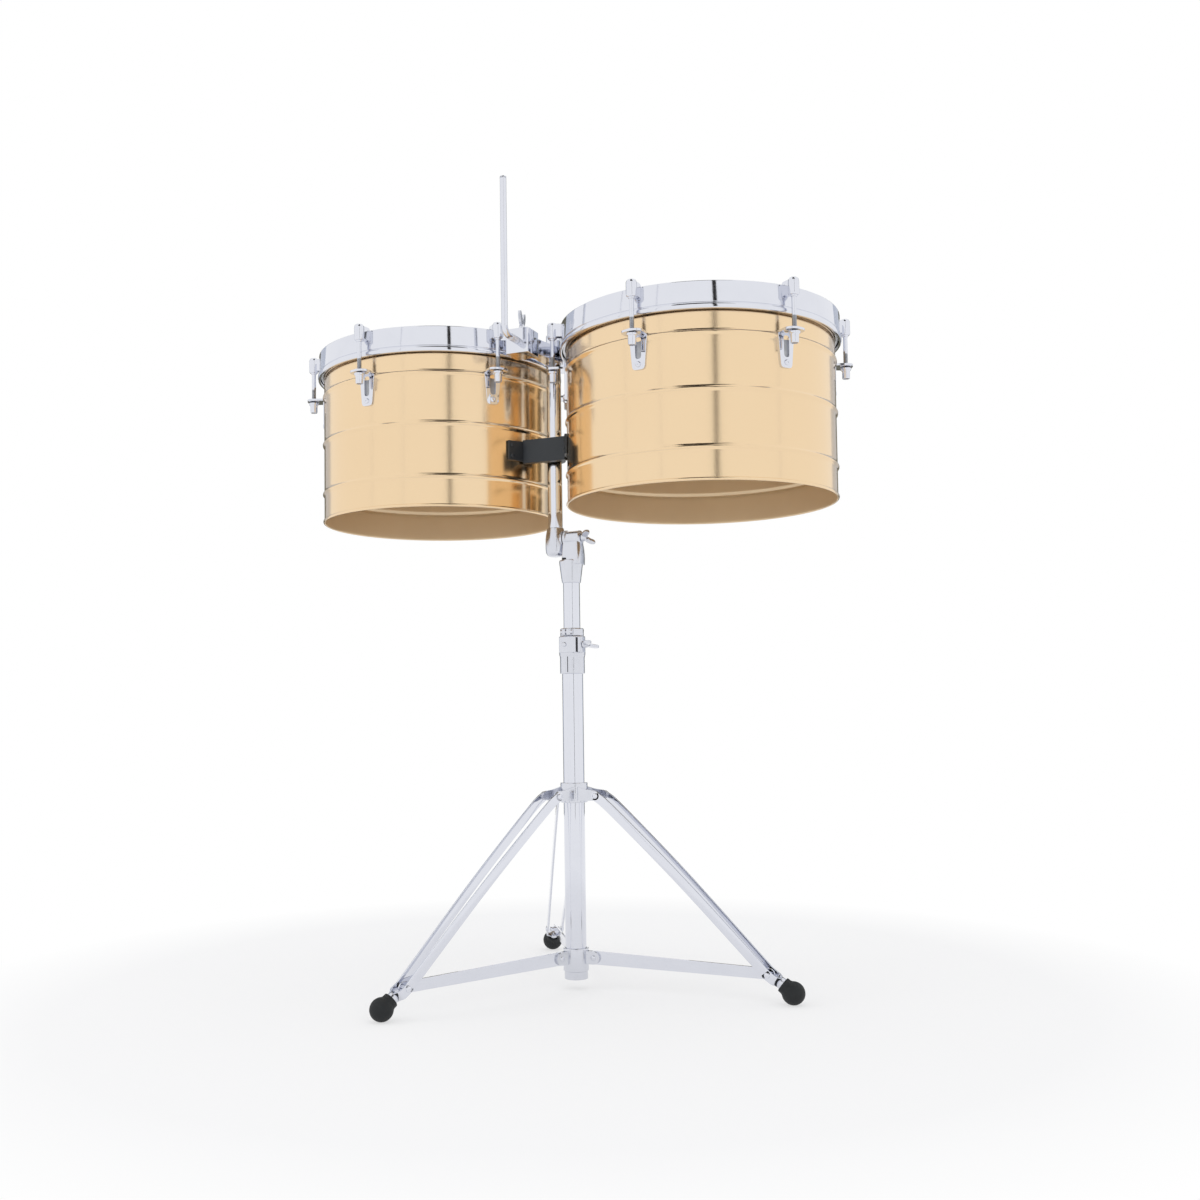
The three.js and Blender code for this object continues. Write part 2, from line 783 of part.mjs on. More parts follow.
// Brace: a flat bar from the hub's pin to the rivet line between the leg's strips.
const braceHalf = braceTall / 2;
const braceEnd = [];
for (let i = -4; i <= 4; i++)
  braceEnd.push([
    rivetR + (braceHalf - 1.5) * Math.cos((i * Math.PI) / 8),
    rivetZ + (braceHalf - 1.5) * Math.sin((i * Math.PI) / 8),
  ]);
for (let i = 4; i <= 12; i++)
  braceEnd.push([
    bracePivotR + (braceHalf + 0.6) * Math.cos((i * Math.PI) / 8),
    bracePivotZ + (braceHalf + 0.6) * Math.sin((i * Math.PI) / 8),
  ]);
const spacer = forkRivet - seatGap;
const brace = joined(
  plateXZ(braceEnd, -braceThick / 2, braceThick / 2),
  alongY(4, -spacer, spacer, rivetR, rivetZ, 12),
).subtract(alongY(pinRadius + pivotGap, -5, 5, bracePivotR, bracePivotZ, 12));

// Rubber foot: a ball with a sleeve up the leg's end, flat where it meets the floor.
const foot = atFoot(
  turned(
    [
      [0, -ballRadius],
      [ballRadius * 0.5, -ballRadius * 0.866],
      [ballRadius * 0.866, -ballRadius * 0.5],
      [ballRadius, 0],
      [ballRadius * 0.9, ballRadius * 0.42],
      [ballRadius * 0.66, ballRadius * 0.72],
      [ferruleRadius + 2.8, 14],
      [ferruleRadius + 2.6, 19],
      [ferruleRadius + seatGap, 19],
      [ferruleRadius + seatGap, 2 - seatGap],
      [0, 2 - seatGap],
    ],
    16,
  ),
).subtract(box(footR - 60, footR + 60, -60, 60, -60, 0));

legAngles.forEach((a, i) => {
  for (const [name, made, look] of [
    ["leg_", leg, chrome],
    ["brace_", brace, chrome],
    ["foot_", foot, rubber],
  ]) {
    const m = node(name + (i + 1), made, look);
    m.rotation.z = rad(a);
    timbales.add(m);
  }
});

// The part's origin is under the middle of its box, on the floor.
const part = new THREE.Group();
part.add(timbales);
const bounds = new THREE.Box3().setFromObject(timbales, true);
timbales.position.set(-(bounds.min.x + bounds.max.x) / 2, -(bounds.min.y + bounds.max.y) / 2, 0);

export default part;
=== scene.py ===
import bmesh
import bpy
import numpy as np
from math import cos, pi, radians, sin
from mathutils import Matrix, Vector


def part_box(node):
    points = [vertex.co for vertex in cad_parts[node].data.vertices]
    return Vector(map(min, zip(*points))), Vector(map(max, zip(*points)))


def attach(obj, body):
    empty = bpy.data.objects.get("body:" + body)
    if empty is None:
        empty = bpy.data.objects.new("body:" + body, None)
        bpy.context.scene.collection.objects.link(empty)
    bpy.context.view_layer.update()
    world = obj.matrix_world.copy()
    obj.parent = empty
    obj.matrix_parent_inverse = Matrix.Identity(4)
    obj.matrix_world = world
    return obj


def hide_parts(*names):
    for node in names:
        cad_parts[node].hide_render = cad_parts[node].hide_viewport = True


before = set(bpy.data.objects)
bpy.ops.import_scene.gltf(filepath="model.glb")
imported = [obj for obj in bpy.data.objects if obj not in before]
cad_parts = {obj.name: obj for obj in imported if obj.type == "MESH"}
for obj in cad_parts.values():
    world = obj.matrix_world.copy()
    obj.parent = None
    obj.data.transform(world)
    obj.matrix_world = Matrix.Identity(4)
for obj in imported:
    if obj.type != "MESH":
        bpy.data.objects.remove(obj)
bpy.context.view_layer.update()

mm = 0.001


# where things are, from the fixed frame

def middle(node):
    low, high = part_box(node)
    return (np.array(low) + np.array(high)) / 2


tubeX = middle("outer_tube")[0]  # the stand's axis
postAt = middle("post")
blockLow, blockHigh = (np.array(corner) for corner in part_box("accessory_block"))
rodLow, rodHigh = (np.array(corner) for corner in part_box("accessory_rod"))


# shapes: every one is a function of two parameters on a grid

def softCorners(points, radius, steps=5, closed=True):
    # Each corner p becomes (1-s)^2 a + 2s(1-s) p + s^2 b, where a and b lie on its two sides, radius away at most.
    p = np.asarray(points, float)
    r = np.broadcast_to(np.asarray(radius, float), (len(p),))[:, None]
    before, after = np.roll(p, 1, 0) - p, np.roll(p, -1, 0) - p
    lengthBefore = np.maximum(np.linalg.norm(before, axis=1, keepdims=True), 1e-12)
    lengthAfter = np.maximum(np.linalg.norm(after, axis=1, keepdims=True), 1e-12)
    if not closed:
        r = r.copy()
        r[[0, -1]] = 0
    a = p + before / lengthBefore * np.minimum(r, lengthBefore * 0.48)
    b = p + after / lengthAfter * np.minimum(r, lengthAfter * 0.48)
    s = np.linspace(0, 1, steps)[None, :, None]
    curve = (1 - s) ** 2 * a[:, None] + 2 * s * (1 - s) * p[:, None] + s ** 2 * b[:, None]
    flat = curve.reshape(-1, p.shape[1])
    gap = np.linalg.norm(flat - np.roll(flat, 1, 0), axis=1)
    gap[0] = 1
    return flat[gap > 1e-7]


def gridFaces(rows, columns, wrapRows, wrapColumns=True):
    row = np.arange(rows if wrapRows else rows - 1)[:, None]
    column = np.arange(columns if wrapColumns else columns - 1)[None, :]
    nextRow, nextColumn = (row + 1) % rows, (column + 1) % columns
    corners = [row * columns + column, row * columns + nextColumn, nextRow * columns + nextColumn, nextRow * columns + column]
    return np.stack(np.broadcast_arrays(*corners), -1).reshape(-1, 4).tolist()


def turned(profile, sides=72, ripple=None):
    # Point (u, v) is (r(u) cos v, r(u) sin v, z(u)), and ripple(z, v) may add to r. Millimetres in, metres out.
    profile = np.asarray(profile, float)
    v = np.linspace(0, 2 * pi, sides, endpoint=False)[None, :]
    r, z = np.broadcast_arrays(profile[:, :1], v)[0], np.broadcast_arrays(profile[:, 1:], v)[0]
    if ripple:
        r = r + ripple(z, v)
    points = np.stack([r * np.cos(v), r * np.sin(v), z], -1).reshape(-1, 3) * mm
    return points, gridFaces(len(profile), sides, profile[0, 0] > 1e-6)


def carried(section, path, side, wrapPath=False):
    # Point (u, v) is path(u) + x(v) side(u) + y(v) up(u), with up = tangent x side; flat caps close the ends.
    section, path = np.asarray(section, float), np.asarray(path, float)
    tangent = np.gradient(path, axis=0)
    if wrapPath:
        tangent = np.roll(path, -1, 0) - np.roll(path, 1, 0)
    tangent /= np.linalg.norm(tangent, axis=1, keepdims=True)
    side = np.broadcast_to(np.asarray(side, float), path.shape)
    side = side - tangent * np.sum(side * tangent, 1, keepdims=True)
    side = side / np.linalg.norm(side, axis=1, keepdims=True)
    up = np.cross(tangent, side)
    sections = section if section.ndim == 3 else np.broadcast_to(section, (len(path),) + section.shape)
    points = path[:, None] + sections[:, :, :1] * side[:, None] + sections[:, :, 1:] * up[:, None]
    count = sections.shape[1]
    faces = gridFaces(len(path), count, wrapPath)
    if not wrapPath:
        faces = faces + [list(range(count))[::-1], list(range((len(path) - 1) * count, len(path) * count))]
    return points.reshape(-1, 3) * mm, faces


def circle(radius, sides=24):
    v = np.linspace(0, 2 * pi, sides, endpoint=False)
    return np.stack([radius * np.cos(v), radius * np.sin(v)], 1)


def plate(outline, low, high, axis="y"):
    # An outline carried straight from low to high along an axis. Outline is (x, z) for y, (x, y) for z, (y, z) for x.
    direction = {"x": (1, 0, 0), "y": (0, 1, 0), "z": (0, 0, 1)}[axis]
    path = np.outer([low, high], direction)
    side = {"x": (0, 1, 0), "y": (-1, 0, 0), "z": (1, 0, 0)}[axis]
    outline = np.asarray(outline, float)
    if axis == "y":
        outline = outline * [-1, 1]
    return carried(outline, path, side)


def moved(shape, offset=(0, 0, 0), turn=0, axis="Z", pivot=(0, 0, 0)):
    points, faces = shape
    spin = np.array(Matrix.Rotation(radians(turn), 3, axis))
    return (points - np.array(pivot) * mm) @ spin.T + np.array(pivot) * mm + np.array(offset) * mm, faces


def alongX(shape):
    # Turns a shape made round Z so that its axis is X.
    return shape[0][:, [2, 0, 1]], shape[1]


def alongY(shape):
    return shape[0][:, [1, 2, 0]], shape[1]


def piece(name, shapes, body, look, stands=(), bevel=0.0, sharp=38, spot=(0, 0, 0)):
    # Joins shapes into one mesh, merges poles, turns faces outwards, and puts it on its body.
    points, faces, start = [], [], 0
    for shapePoints, shapeFaces in shapes:
        points.append(shapePoints)
        faces += [[i + start for i in face] for face in shapeFaces]
        start += len(shapePoints)
    mesh = bpy.data.meshes.new(name)
    mesh.from_pydata((np.concatenate(points) + np.array(spot)).tolist(), [], faces)
    work = bmesh.new()
    work.from_mesh(mesh)
    bmesh.ops.remove_doubles(work, verts=work.verts, dist=2e-7)
    bmesh.ops.dissolve_degenerate(work, edges=work.edges, dist=1e-7)
    bmesh.ops.recalc_face_normals(work, faces=work.faces)
    work.to_mesh(mesh)
    work.free()
    mesh.shade_smooth()
    mesh.set_sharp_from_angle(angle=radians(sharp))
    made = bpy.data.objects.new(name, mesh)
    bpy.context.scene.collection.objects.link(made)
    mesh.materials.append(look)
    if bevel:
        edge = made.modifiers.new("edges", "BEVEL")
        edge.width, edge.segments, edge.limit_method = bevel * mm, 3, "ANGLE"
        edge.angle_limit, edge.harden_normals = radians(sharp), True
        edge.use_clamp_overlap = True
    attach(made, body)
    if stands:
        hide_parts(*stands)
    return made


# finishes

class Socket:
    # A shader value that can be written in sums: a * 2 + 1 adds its Math nodes.
    def __init__(self, tree, link):
        self.tree, self.link = tree, link

    def join(self, operation, *others):
        return node(self.tree, "ShaderNodeMath", {"operation": operation}, {i: v for i, v in enumerate((self,) + others)})

    def __add__(self, other): return self.join("ADD", other)
    def __radd__(self, other): return self.join("ADD", other)
    def __mul__(self, other): return self.join("MULTIPLY", other)
    def __rmul__(self, other): return self.join("MULTIPLY", other)
    def __sub__(self, other): return self.join("SUBTRACT", other)
    def __rsub__(self, other): return node(self.tree, "ShaderNodeMath", {"operation": "SUBTRACT"}, {0: other, 1: self})
    def __pow__(self, other): return self.join("POWER", other)
    def most(self, other): return self.join("MAXIMUM", other)
    def least(self, other): return self.join("MINIMUM", other)


def node(tree, kind, settings=None, inputs=None, output=0):
    made = tree.nodes.new(kind)
    for key, value in (settings or {}).items():
        if key == "stops":
            ramp = made.color_ramp
            while len(ramp.elements) < len(value):
                ramp.elements.new(0.5)
            for element, (place, colour) in zip(ramp.elements, value):
                element.position, element.color = place, colour
        else:
            setattr(made, key, value)
    for key, value in (inputs or {}).items():
        if isinstance(value, Socket):
            tree.links.new(value.link, made.inputs[key])
        else:
            made.inputs[key].default_value = value
    return Socket(tree, made.outputs[output])


def finish(name, base, constants=None, build=None):
    # A Principled material; build(tree, place) returns what varies, by socket name, and place is Object coordinates.
    made = bpy.data.materials.new(name)
    made.use_nodes = True
    tree = made.node_tree
    shader = next(n for n in tree.nodes if n.type == "BSDF_PRINCIPLED")
    shader.inputs["Base Color"].default_value = base
    for key, value in (constants or {}).items():
        shader.inputs[key].default_value = value
    if build:
        place = node(tree, "ShaderNodeTexCoord", output=3)
        for key, value in build(tree, place).items():
            tree.links.new(value.link, shader.inputs[key])
    return made


def noise(tree, place, scale, detail=3.0, rough=0.5, stretch=None):
    if stretch:
        place = node(tree, "ShaderNodeMapping", {"vector_type": "POINT"}, {"Vector": place, "Scale": stretch})
    return node(tree, "ShaderNodeTexNoise", {}, {"Vector": place, "Scale": scale, "Detail": detail, "Roughness": rough})


def mixed(tree, factor, a, b):
    return node(tree, "ShaderNodeMix", {"data_type": "RGBA"}, {0: factor, 6: a, 7: b}, output=2)


def bumped(tree, height, strength, distance):
    return node(tree, "ShaderNodeBump", {}, {"Height": height, "Strength": strength, "Distance": distance})


chromeTone = {"base": (0.745, 0.76, 0.82, 1), "worn": (0.68, 0.695, 0.76, 1), "rough": 0.045, "smudge": 0.07, "wave": 0.02}


def chromeParts(tree, place):
    smudge = noise(tree, place, 28, 4, 0.6)
    fine = noise(tree, place, 210, 2, 0.5)
    wave = noise(tree, place, 9, 1, 0.4)
    return {
        "Base Color": mixed(tree, smudge ** 3, chromeTone["base"], chromeTone["worn"]),
        "Roughness": chromeTone["rough"] + (smudge ** 3) * chromeTone["smudge"] + fine * 0.02,
        "Normal": bumped(tree, wave, chromeTone["wave"], 0.01),
    }


chrome = finish("polishedChrome", chromeTone["base"], {"Metallic": 1.0}, chromeParts)

castTone = {"base": (0.70, 0.715, 0.77, 1), "pit": (0.55, 0.57, 0.63, 1)}


def castParts(tree, place):
    lump = noise(tree, place, 160, 3, 0.6)
    broad = noise(tree, place, 35, 2, 0.5)
    return {
        "Base Color": mixed(tree, (lump * broad) ** 2, castTone["base"], castTone["pit"]),
        "Roughness": 0.12 + broad * 0.14,
        "Normal": bumped(tree, lump * 0.4 + broad, 0.10, 0.0012),
    }


castChrome = finish("platedCasting", castTone["base"], {"Metallic": 1.0}, castParts)

threadTone = {"base": (0.52, 0.53, 0.56, 1), "dark": (0.30, 0.31, 0.33, 1)}


def threadParts(tree, place):
    grime = noise(tree, place, 120, 4, 0.6)
    return {
        "Base Color": mixed(tree, grime, threadTone["base"], threadTone["dark"]),
        "Roughness": 0.25 + grime * 0.25,
        "Normal": bumped(tree, grime, 0.15, 0.0006),
    }


# Threaded steel grey for the tension rods; the same material colours the lug slot floors as painted shade.
threadSteelAndSlotShade = finish("threadedSteelAndSlotShade", threadTone["base"], {"Metallic": 1.0}, threadParts)

shellTone = {"base": (0.88, 0.68, 0.44, 1), "deep": (0.85, 0.64, 0.41, 1), "inside": (0.84, 0.66, 0.44, 1), "rough": 0.10}


def shellParts(tree, place):
    cloud = noise(tree, place, 5, 3, 0.5)
    grain = noise(tree, place, 60, 3, 0.6, (1, 1, 30))
    wave = noise(tree, place, 7, 1, 0.4)
    return {
        "Base Color": mixed(tree, cloud, shellTone["base"], shellTone["deep"]),
        "Roughness": shellTone["rough"] + cloud * 0.05 + grain * 0.06,
        "Normal": bumped(tree, wave + grain * 0.02, 0.05, 0.01),
    }


paleBronze = finish("paleBronzeShell", shellTone["base"], {"Metallic": 1.0}, shellParts)


def insideParts(tree, place):
    cloud = noise(tree, place, 9, 4, 0.6)
    grain = noise(tree, place, 40, 3, 0.6, (1, 1, 25))
    return {
        "Base Color": mixed(tree, cloud, shellTone["inside"], (0.76, 0.58, 0.36, 1)),
        "Roughness": 0.30 + grain * 0.15,
        "Normal": bumped(tree, grain + cloud, 0.08, 0.002),
    }


insideBronze = finish("bronzeInside", shellTone["inside"], {"Metallic": 0.6}, insideParts)

headTone = {"base": (0.86, 0.855, 0.83, 1), "worn": (0.80, 0.79, 0.76, 1)}


def headParts(tree, place):
    spray = noise(tree, place, 900, 2, 0.5)
    cloud = noise(tree, place, 14, 3, 0.5)
    return {
        "Base Color": mixed(tree, cloud ** 2, headTone["base"], headTone["worn"]),
        "Roughness": 0.42 + spray * 0.12,
        "Normal": bumped(tree, spray, 0.12, 0.0004),
    }


coatedFilm = finish("coatedFilm", headTone["base"], {"Specular IOR Level": 0.4}, headParts)

blackTone = {"base": (0.018, 0.022, 0.027, 1), "rub": (0.032, 0.038, 0.045, 1)}


def blackParts(tree, place):
    fleck = noise(tree, place, 420, 3, 0.6)
    rub = noise(tree, place, 40, 3, 0.5)
    return {
        "Base Color": mixed(tree, rub, blackTone["base"], blackTone["rub"]),
        "Roughness": 0.34 + rub * 0.12,
        "Normal": bumped(tree, fleck, 0.15, 0.0006),
    }


satinBlack = finish("satinBlackCoat", blackTone["base"], {"Specular IOR Level": 0.5}, blackParts)

rubberTone = {"base": (0.011, 0.013, 0.014, 1), "dust": (0.035, 0.036, 0.037, 1)}


def rubberParts(tree, place):
    dust = noise(tree, place, 70, 5, 0.65)
    skin = noise(tree, place, 600, 2, 0.5)
    return {
        "Base Color": mixed(tree, dust ** 3, rubberTone["base"], rubberTone["dust"]),
        "Roughness": 0.52 + dust * 0.25,
        "Normal": bumped(tree, skin, 0.2, 0.0005),
    }


blackRubber = finish("mouldedRubber", rubberTone["base"], {"Specular IOR Level": 0.4}, rubberParts)


# Painted shade: a near-black colour laid into slots and gaps, mottled by noise.
def recessShadeParts(tree, place):
    shadeMottle = noise(tree, place, 90)
    return {
        "Base Color": mixed(tree, shadeMottle, (0.015, 0.016, 0.018, 1), (0.035, 0.036, 0.04, 1)),
        "Roughness": 0.6 + shadeMottle * 0.3,
        "Normal": bumped(tree, shadeMottle, 0.2, 0.0005),
    }


shade = finish("paintedRecessShade", (0.02, 0.021, 0.024, 1), {}, recessShadeParts)
print("finishes made")


# drums

shellDims = {"wall": 1.2, "beadProud": 2.5, "beadWidth": 2.6}
beadHeights = (46, 126, 203)
lugAngles = {"small": 23, "large": 23}
drumSizes = {"small": 188.5, "large": 201.2}
flatShare = cos(pi / 36)  # lugs stand on the flats of the fixed frame's shell


def drumShell(size, radius, centre, bottom, height):
    # r(z) = R + proud * exp(-((z - bead) / width)^2) summed over the beads, up the outside and down the inside.
    top = height - 13
    z = np.linspace(5, top, 220)
    beads = sum(shellDims["beadProud"] * np.exp(-(((z - h) / shellDims["beadWidth"]) ** 2))
                for h in beadHeights)
    outside = np.stack([radius + beads, z], 1)
    inside = np.stack([radius - shellDims["wall"] + beads, z], 1)[::-1]
    a = np.linspace(0, pi, 13)
    lipOut = np.stack([radius + 1.9 * np.sin(a), 2.2 - 2.2 * np.cos(a)], 1)
    inner = [[radius - shellDims["wall"], 2.0], [radius - shellDims["wall"] + 0.3, 0.4]]
    topEdge = [[radius - 0.2, top + 0.2], [radius - shellDims["wall"] + 0.2, top + 0.2]]
    outer = piece(size + "Shell", [turned(np.concatenate([lipOut, outside, topEdge, inside, inner]), 192)],
                  "drums", paleBronze, [size + "_shell"], sharp=60, spot=centre + [0, 0, bottom])
    outer.data.materials.append(insideBronze)
    mesh = outer.data
    middles = np.empty(len(mesh.polygons) * 3)
    mesh.polygons.foreach_get("center", middles)
    normals = np.empty(len(mesh.polygons) * 3)
    mesh.polygons.foreach_get("normal", normals)
    middles, normals = middles.reshape(-1, 3) - centre, normals.reshape(-1, 3)
    inward = (middles[:, 0] * normals[:, 0] + middles[:, 1] * normals[:, 1]) < 0
    mesh.polygons.foreach_set("material_index", inward.astype(int))
    return outer


headDims = {"rise": 0.3}


def drumHead(size, radius, centre, bottom, height):
    top = height - 13 + headDims["rise"] + 0.7
    film = softCorners([[0.0, top - 0.35], [radius + 0.7, top - 0.35], [radius + 0.7, height - 28], [radius + 1.2, height - 28],
                        [radius + 1.3, top], [0.0, top]], [0, 2.4, 0.1, 0.1, 3.0, 0], 7, closed=False)
    flesh = softCorners([[radius + 0.6, height - 35], [radius + 4.6, height - 35], [radius + 4.6, height - 27.1],
                         [radius + 0.6, height - 27.1]], 0.8)
    made = piece(size + "Head", [turned(film, 160)], "drums", coatedFilm, [size + "_head"], spot=centre + [0, 0, bottom])
    ring = piece(size + "FleshHoop", [turned(flesh, 160)], "drums", castChrome, (), spot=centre + [0, 0, bottom])
    return made, ring


hoopDims = {"out": 7.8, "wall": 2.2, "flangeOut": 10.0}


def drumHoop(size, radius, centre, bottom, height):
    band = radius + hoopDims["out"] - hoopDims["wall"]
    out = radius + hoopDims["out"]
    flange = radius + hoopDims["flangeOut"]
    ledge = height - 26.7
    points = [[band, height - 38.5], [flange, height - 38.5], [flange, height - 31.6], [out - 0.9, height - 30.9], [out - 0.9, height - 29.8],
              [out, height - 29], [out, height], [band, height], [band, ledge + 2], [radius + 2, ledge + 2],
              [radius + 2, ledge], [band, ledge]]
    soft = [0.5, 3.2, 2.4, 0.3, 0.3, 0.6, 1.0, 1.0, 0.4, 0.4, 0.4, 0.4]
    return piece(size + "Hoop", [turned(softCorners(points, soft), 192)], "drums", chrome,
                 [size + "_hoop"], spot=centre + [0, 0, bottom])


lugDims = {"rodOut": 21, "rodRadius": 3.5, "clawWidth": 10.5, "clawOut": 27, "ear": 34, "earOut": 30.7, "earDrop": 63,
           "plateWide": 28, "plateDrop": 113, "plateThick": 2.2}


def windowPlate(outer, hole, low, high, sides=64):
    # A flat ring from an outline to a hole in it: both are cut at the same angles v, then joined front and back.
    outer, hole = np.asarray(outer, float), np.asarray(hole, float)
    centre = hole.mean(0)
    angles = np.linspace(-pi, pi, sides, endpoint=False)

    def cut(loop):
        d = loop - centre
        bearing = np.arctan2(d[:, 1], d[:, 0])
        order = np.argsort(bearing)
        reach = [np.interp(angles, bearing[order], d[order, k], period=2 * pi) for k in (0, 1)]
        return centre + np.stack(reach, 1)

    rims = [(cut(outer), high - 0.4), (centre + (cut(outer) - centre) * 0.97, high),
            (cut(hole), high), (cut(hole), low), (cut(outer), low)]
    points = np.concatenate([np.stack([np.full(sides, x), loop[:, 0], loop[:, 1]], 1) for loop, x in rims])
    return points * mm, gridFaces(len(rims), sides, True)


def lugBracket(radius, height):
    # Stamped bracket: an ear with rounded corners, a plate that narrows downwards with a slot in it, and its screw.
    face = radius * flatShare + 0.3
    earTop = height - lugDims["earDrop"]
    w, out = lugDims["ear"] / 2, radius * flatShare + lugDims["earOut"]
    ear = softCorners([[face - 0.2, -w + 3], [out, -w], [out, w], [face - 0.2, w - 3]], [1, 15, 15, 1], 10)
    half, foot = lugDims["plateWide"] / 2, lugDims["plateWide"] / 2 - 4.5
    low, top = height - lugDims["plateDrop"], earTop - 0.5
    shapes = [plate(ear, earTop - 3.2, earTop, "z")]
    outline = softCorners([[-foot, low], [foot, low], [half, top], [-half, top]], [5, 5, 1.5, 1.5], 8)
    slot = softCorners([[-4.4, low + 15], [4.4, low + 15], [4.8, earTop - 5], [-4.8, earTop - 5]], 4.3, 8)
    shapes.append(windowPlate(outline, slot, face - 0.4, face + 3.2))
    # A sheet at the back of the slot, coloured darker grey as painted shade in the recess.
    slotFloorShade = plate(slot, face - 0.2, face + 0.5, "x")
    screw = turned(softCorners([[0, 0], [4.2, 0], [4.2, 1.4], [2.8, 2.6], [1.1, 2.4], [1.0, 1.6], [0, 1.6]],
                               [0, 0.1, 0.8, 1, 0.1, 0.1, 0], 4, closed=False), 24)
    shapes.append(moved(alongX(screw), (face + 2.9, 0, low + 7.5)))
    washer = turned(softCorners([[4.0, earTop + 0.0], [8.2, earTop + 0.0], [8.2, earTop + 1.1], [4.0, earTop + 1.1]], 0.3, 4), 32)
    shapes.append(moved(washer, ((radius + lugDims["rodOut"]) * flatShare, 0, 0)))
    return shapes, slotFloorShade


def tensionHook(radius, height):
    hoopFace = (radius + 7.8) * flatShare + 0.35
    lip = (radius + 5.6) * flatShare - 0.5
    out = (radius + lugDims["clawOut"]) * flatShare
    rodX = (radius + lugDims["rodOut"]) * flatShare
    earTop = height - lugDims["earDrop"]
    side = softCorners([[lip - 3.2, height - 6], [lip, height - 6], [lip, height + 0.35], [hoopFace, height + 0.35],
                        [hoopFace, height - 14], [rodX, height - 14], [rodX, height + 5.6], [lip - 3.2, height + 5.4]],
                       [1.2, 1, 0.5, 0.5, 1, 1, 1, 4], 6)
    half = lugDims["clawWidth"] / 2
    claw = plate(side, -half, half, "y")
    cap = turned(softCorners([[0, height - 17], [6.2, height - 17], [7.6, height - 15.2], [7.5, height + 4.2], [5.4, height + 7.5], [0, height + 7.7]],
                             [0, 0.6, 1.2, 2.2, 2.0, 0], 6, closed=False), 48)
    neck = turned(softCorners([[0, height - 19.4], [4.4, height - 19.4], [5.2, height - 16.5], [0, height - 16.5]], [0, 1, 1, 0], 4, closed=False), 32)
    smooth = turned([[0, earTop + 18], [3.3, earTop + 18], [3.3, height - 16], [0, height - 16]], 24)
    return [claw] + [moved(part, (rodX, 0, 0)) for part in (cap, neck, smooth)], rodX, earTop


def threadedRod(low, high, radius=3.15, depth=0.28, pitch=1.4, sides=20):
    # r(z, v) = radius + depth cos(2 pi z / pitch - v): a helix, closed at both ends.
    z = np.linspace(low, high, int((high - low) / pitch * 7))
    profile = np.stack([np.full_like(z, radius), z], 1)
    profile = np.concatenate([[[1e-7, low]], profile, [[1e-7, high]]])
    fade = lambda h: np.clip(np.minimum(h - low, high - h) / pitch, 0, 1)
    points = turned(profile, sides, lambda h, v: depth * fade(h) * np.cos(2 * pi * h / pitch - v))[0]
    return points, gridFaces(len(profile), sides, False)


nutDims = {"tall": 16}


def tuningNut(top):
    low = top - nutDims["tall"]
    return turned(softCorners([[3.85, low], [5.6, low], [6.0, top - 4], [7.9, top - 2.6], [8, top - 0.1], [3.85, top - 0.1]],
                              [0.2, 1.2, 1.2, 0.8, 0.3, 0.2], 5), 32,
                  lambda z, v: np.where((z > low + 1.5) & (z < top - 4.4), -0.35 * (np.abs(np.cos(3 * v)) > 0.93), 0))


def drum(size):
    radius = drumSizes[size]
    centre = middle(size + "_hoop") * [1, 1, 0]
    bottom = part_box(size + "_shell")[0][2]
    height = (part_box(size + "_hoop")[1][2] - bottom) / mm
    drumShell(size, radius, centre, bottom, height)
    drumHead(size, radius, centre, bottom, height)
    drumHoop(size, radius, centre, bottom, height)
    brackets, slotFloorShades, spot = [], [], centre + [0, 0, bottom]
    for k in range(6):
        turn = lugAngles[size] + 60 * k
        shapes, slotFloorShade = lugBracket(radius, height)
        brackets += [moved(shape, turn=turn) for shape in shapes]
        slotFloorShades.append(moved(slotFloorShade, turn=turn))
        shapes, rodX, earTop = tensionHook(radius, height)
        piece(f"{size}Hook{k + 1}", [moved(shape, turn=turn) for shape in shapes], "drums", chrome,
              [f"{size}_hook_{k + 1}"], bevel=0.8, sharp=45, spot=spot)
        rod = moved(threadedRod(earTop - 4 - 0.3 - 15, earTop + 18.5), (rodX, 0, 0))
        piece(f"{size}RodThread{k + 1}", [moved(rod, turn=turn)], "drums", threadSteelAndSlotShade, (), sharp=80, spot=spot)
        nut = moved(tuningNut(earTop - 4 - 0.3), (rodX, 0, 0))
        piece(f"{size}Nut{k + 1}", [moved(nut, turn=turn)], f"{size}_nut_{k + 1}", chrome, [f"{size}_nut_{k + 1}"], spot=spot)
    piece(size + "Lugs", brackets, "drums", chrome, (), bevel=0.35, sharp=40, spot=spot)
    # Slot floors in the darker grey: painted shade inside the lug slots.
    piece(size + "LugSlots", slotFloorShades, "drums", threadSteelAndSlotShade, (), spot=spot)
    print(size, "drum made")


drum("small")
drum("large")


# column

axis = np.array([tubeX, 0, 0])
columnDims = {"outer": 15.9, "inner": 12.7, "tiltHeight": 682, "postX": (postAt[0] - tubeX) / mm}


def tube(radius, low, high, wall=1.5):
    return turned(softCorners([[radius - wall, low], [radius, low], [radius, high], [radius - wall, high]], 0.4, 4), 64)


piece("outerTube", [tube(columnDims["outer"], 15, 500)], "base", chrome, ["outer_tube"], spot=axis)
piece("innerTube", [tube(columnDims["inner"], 250, 624.7, 1.6)], "column", chrome, ["inner_tube"], spot=axis)
postShape = softCorners([[0, 688.3], [11.1, 688.3], [11.1, 1000], [0, 1000]], [0, 0.5, 1.6, 0], 6, closed=False)
piece("post", [turned(postShape, 64)], "drums", chrome, ["post"], spot=axis + [columnDims["postX"] * mm, 0, 0])


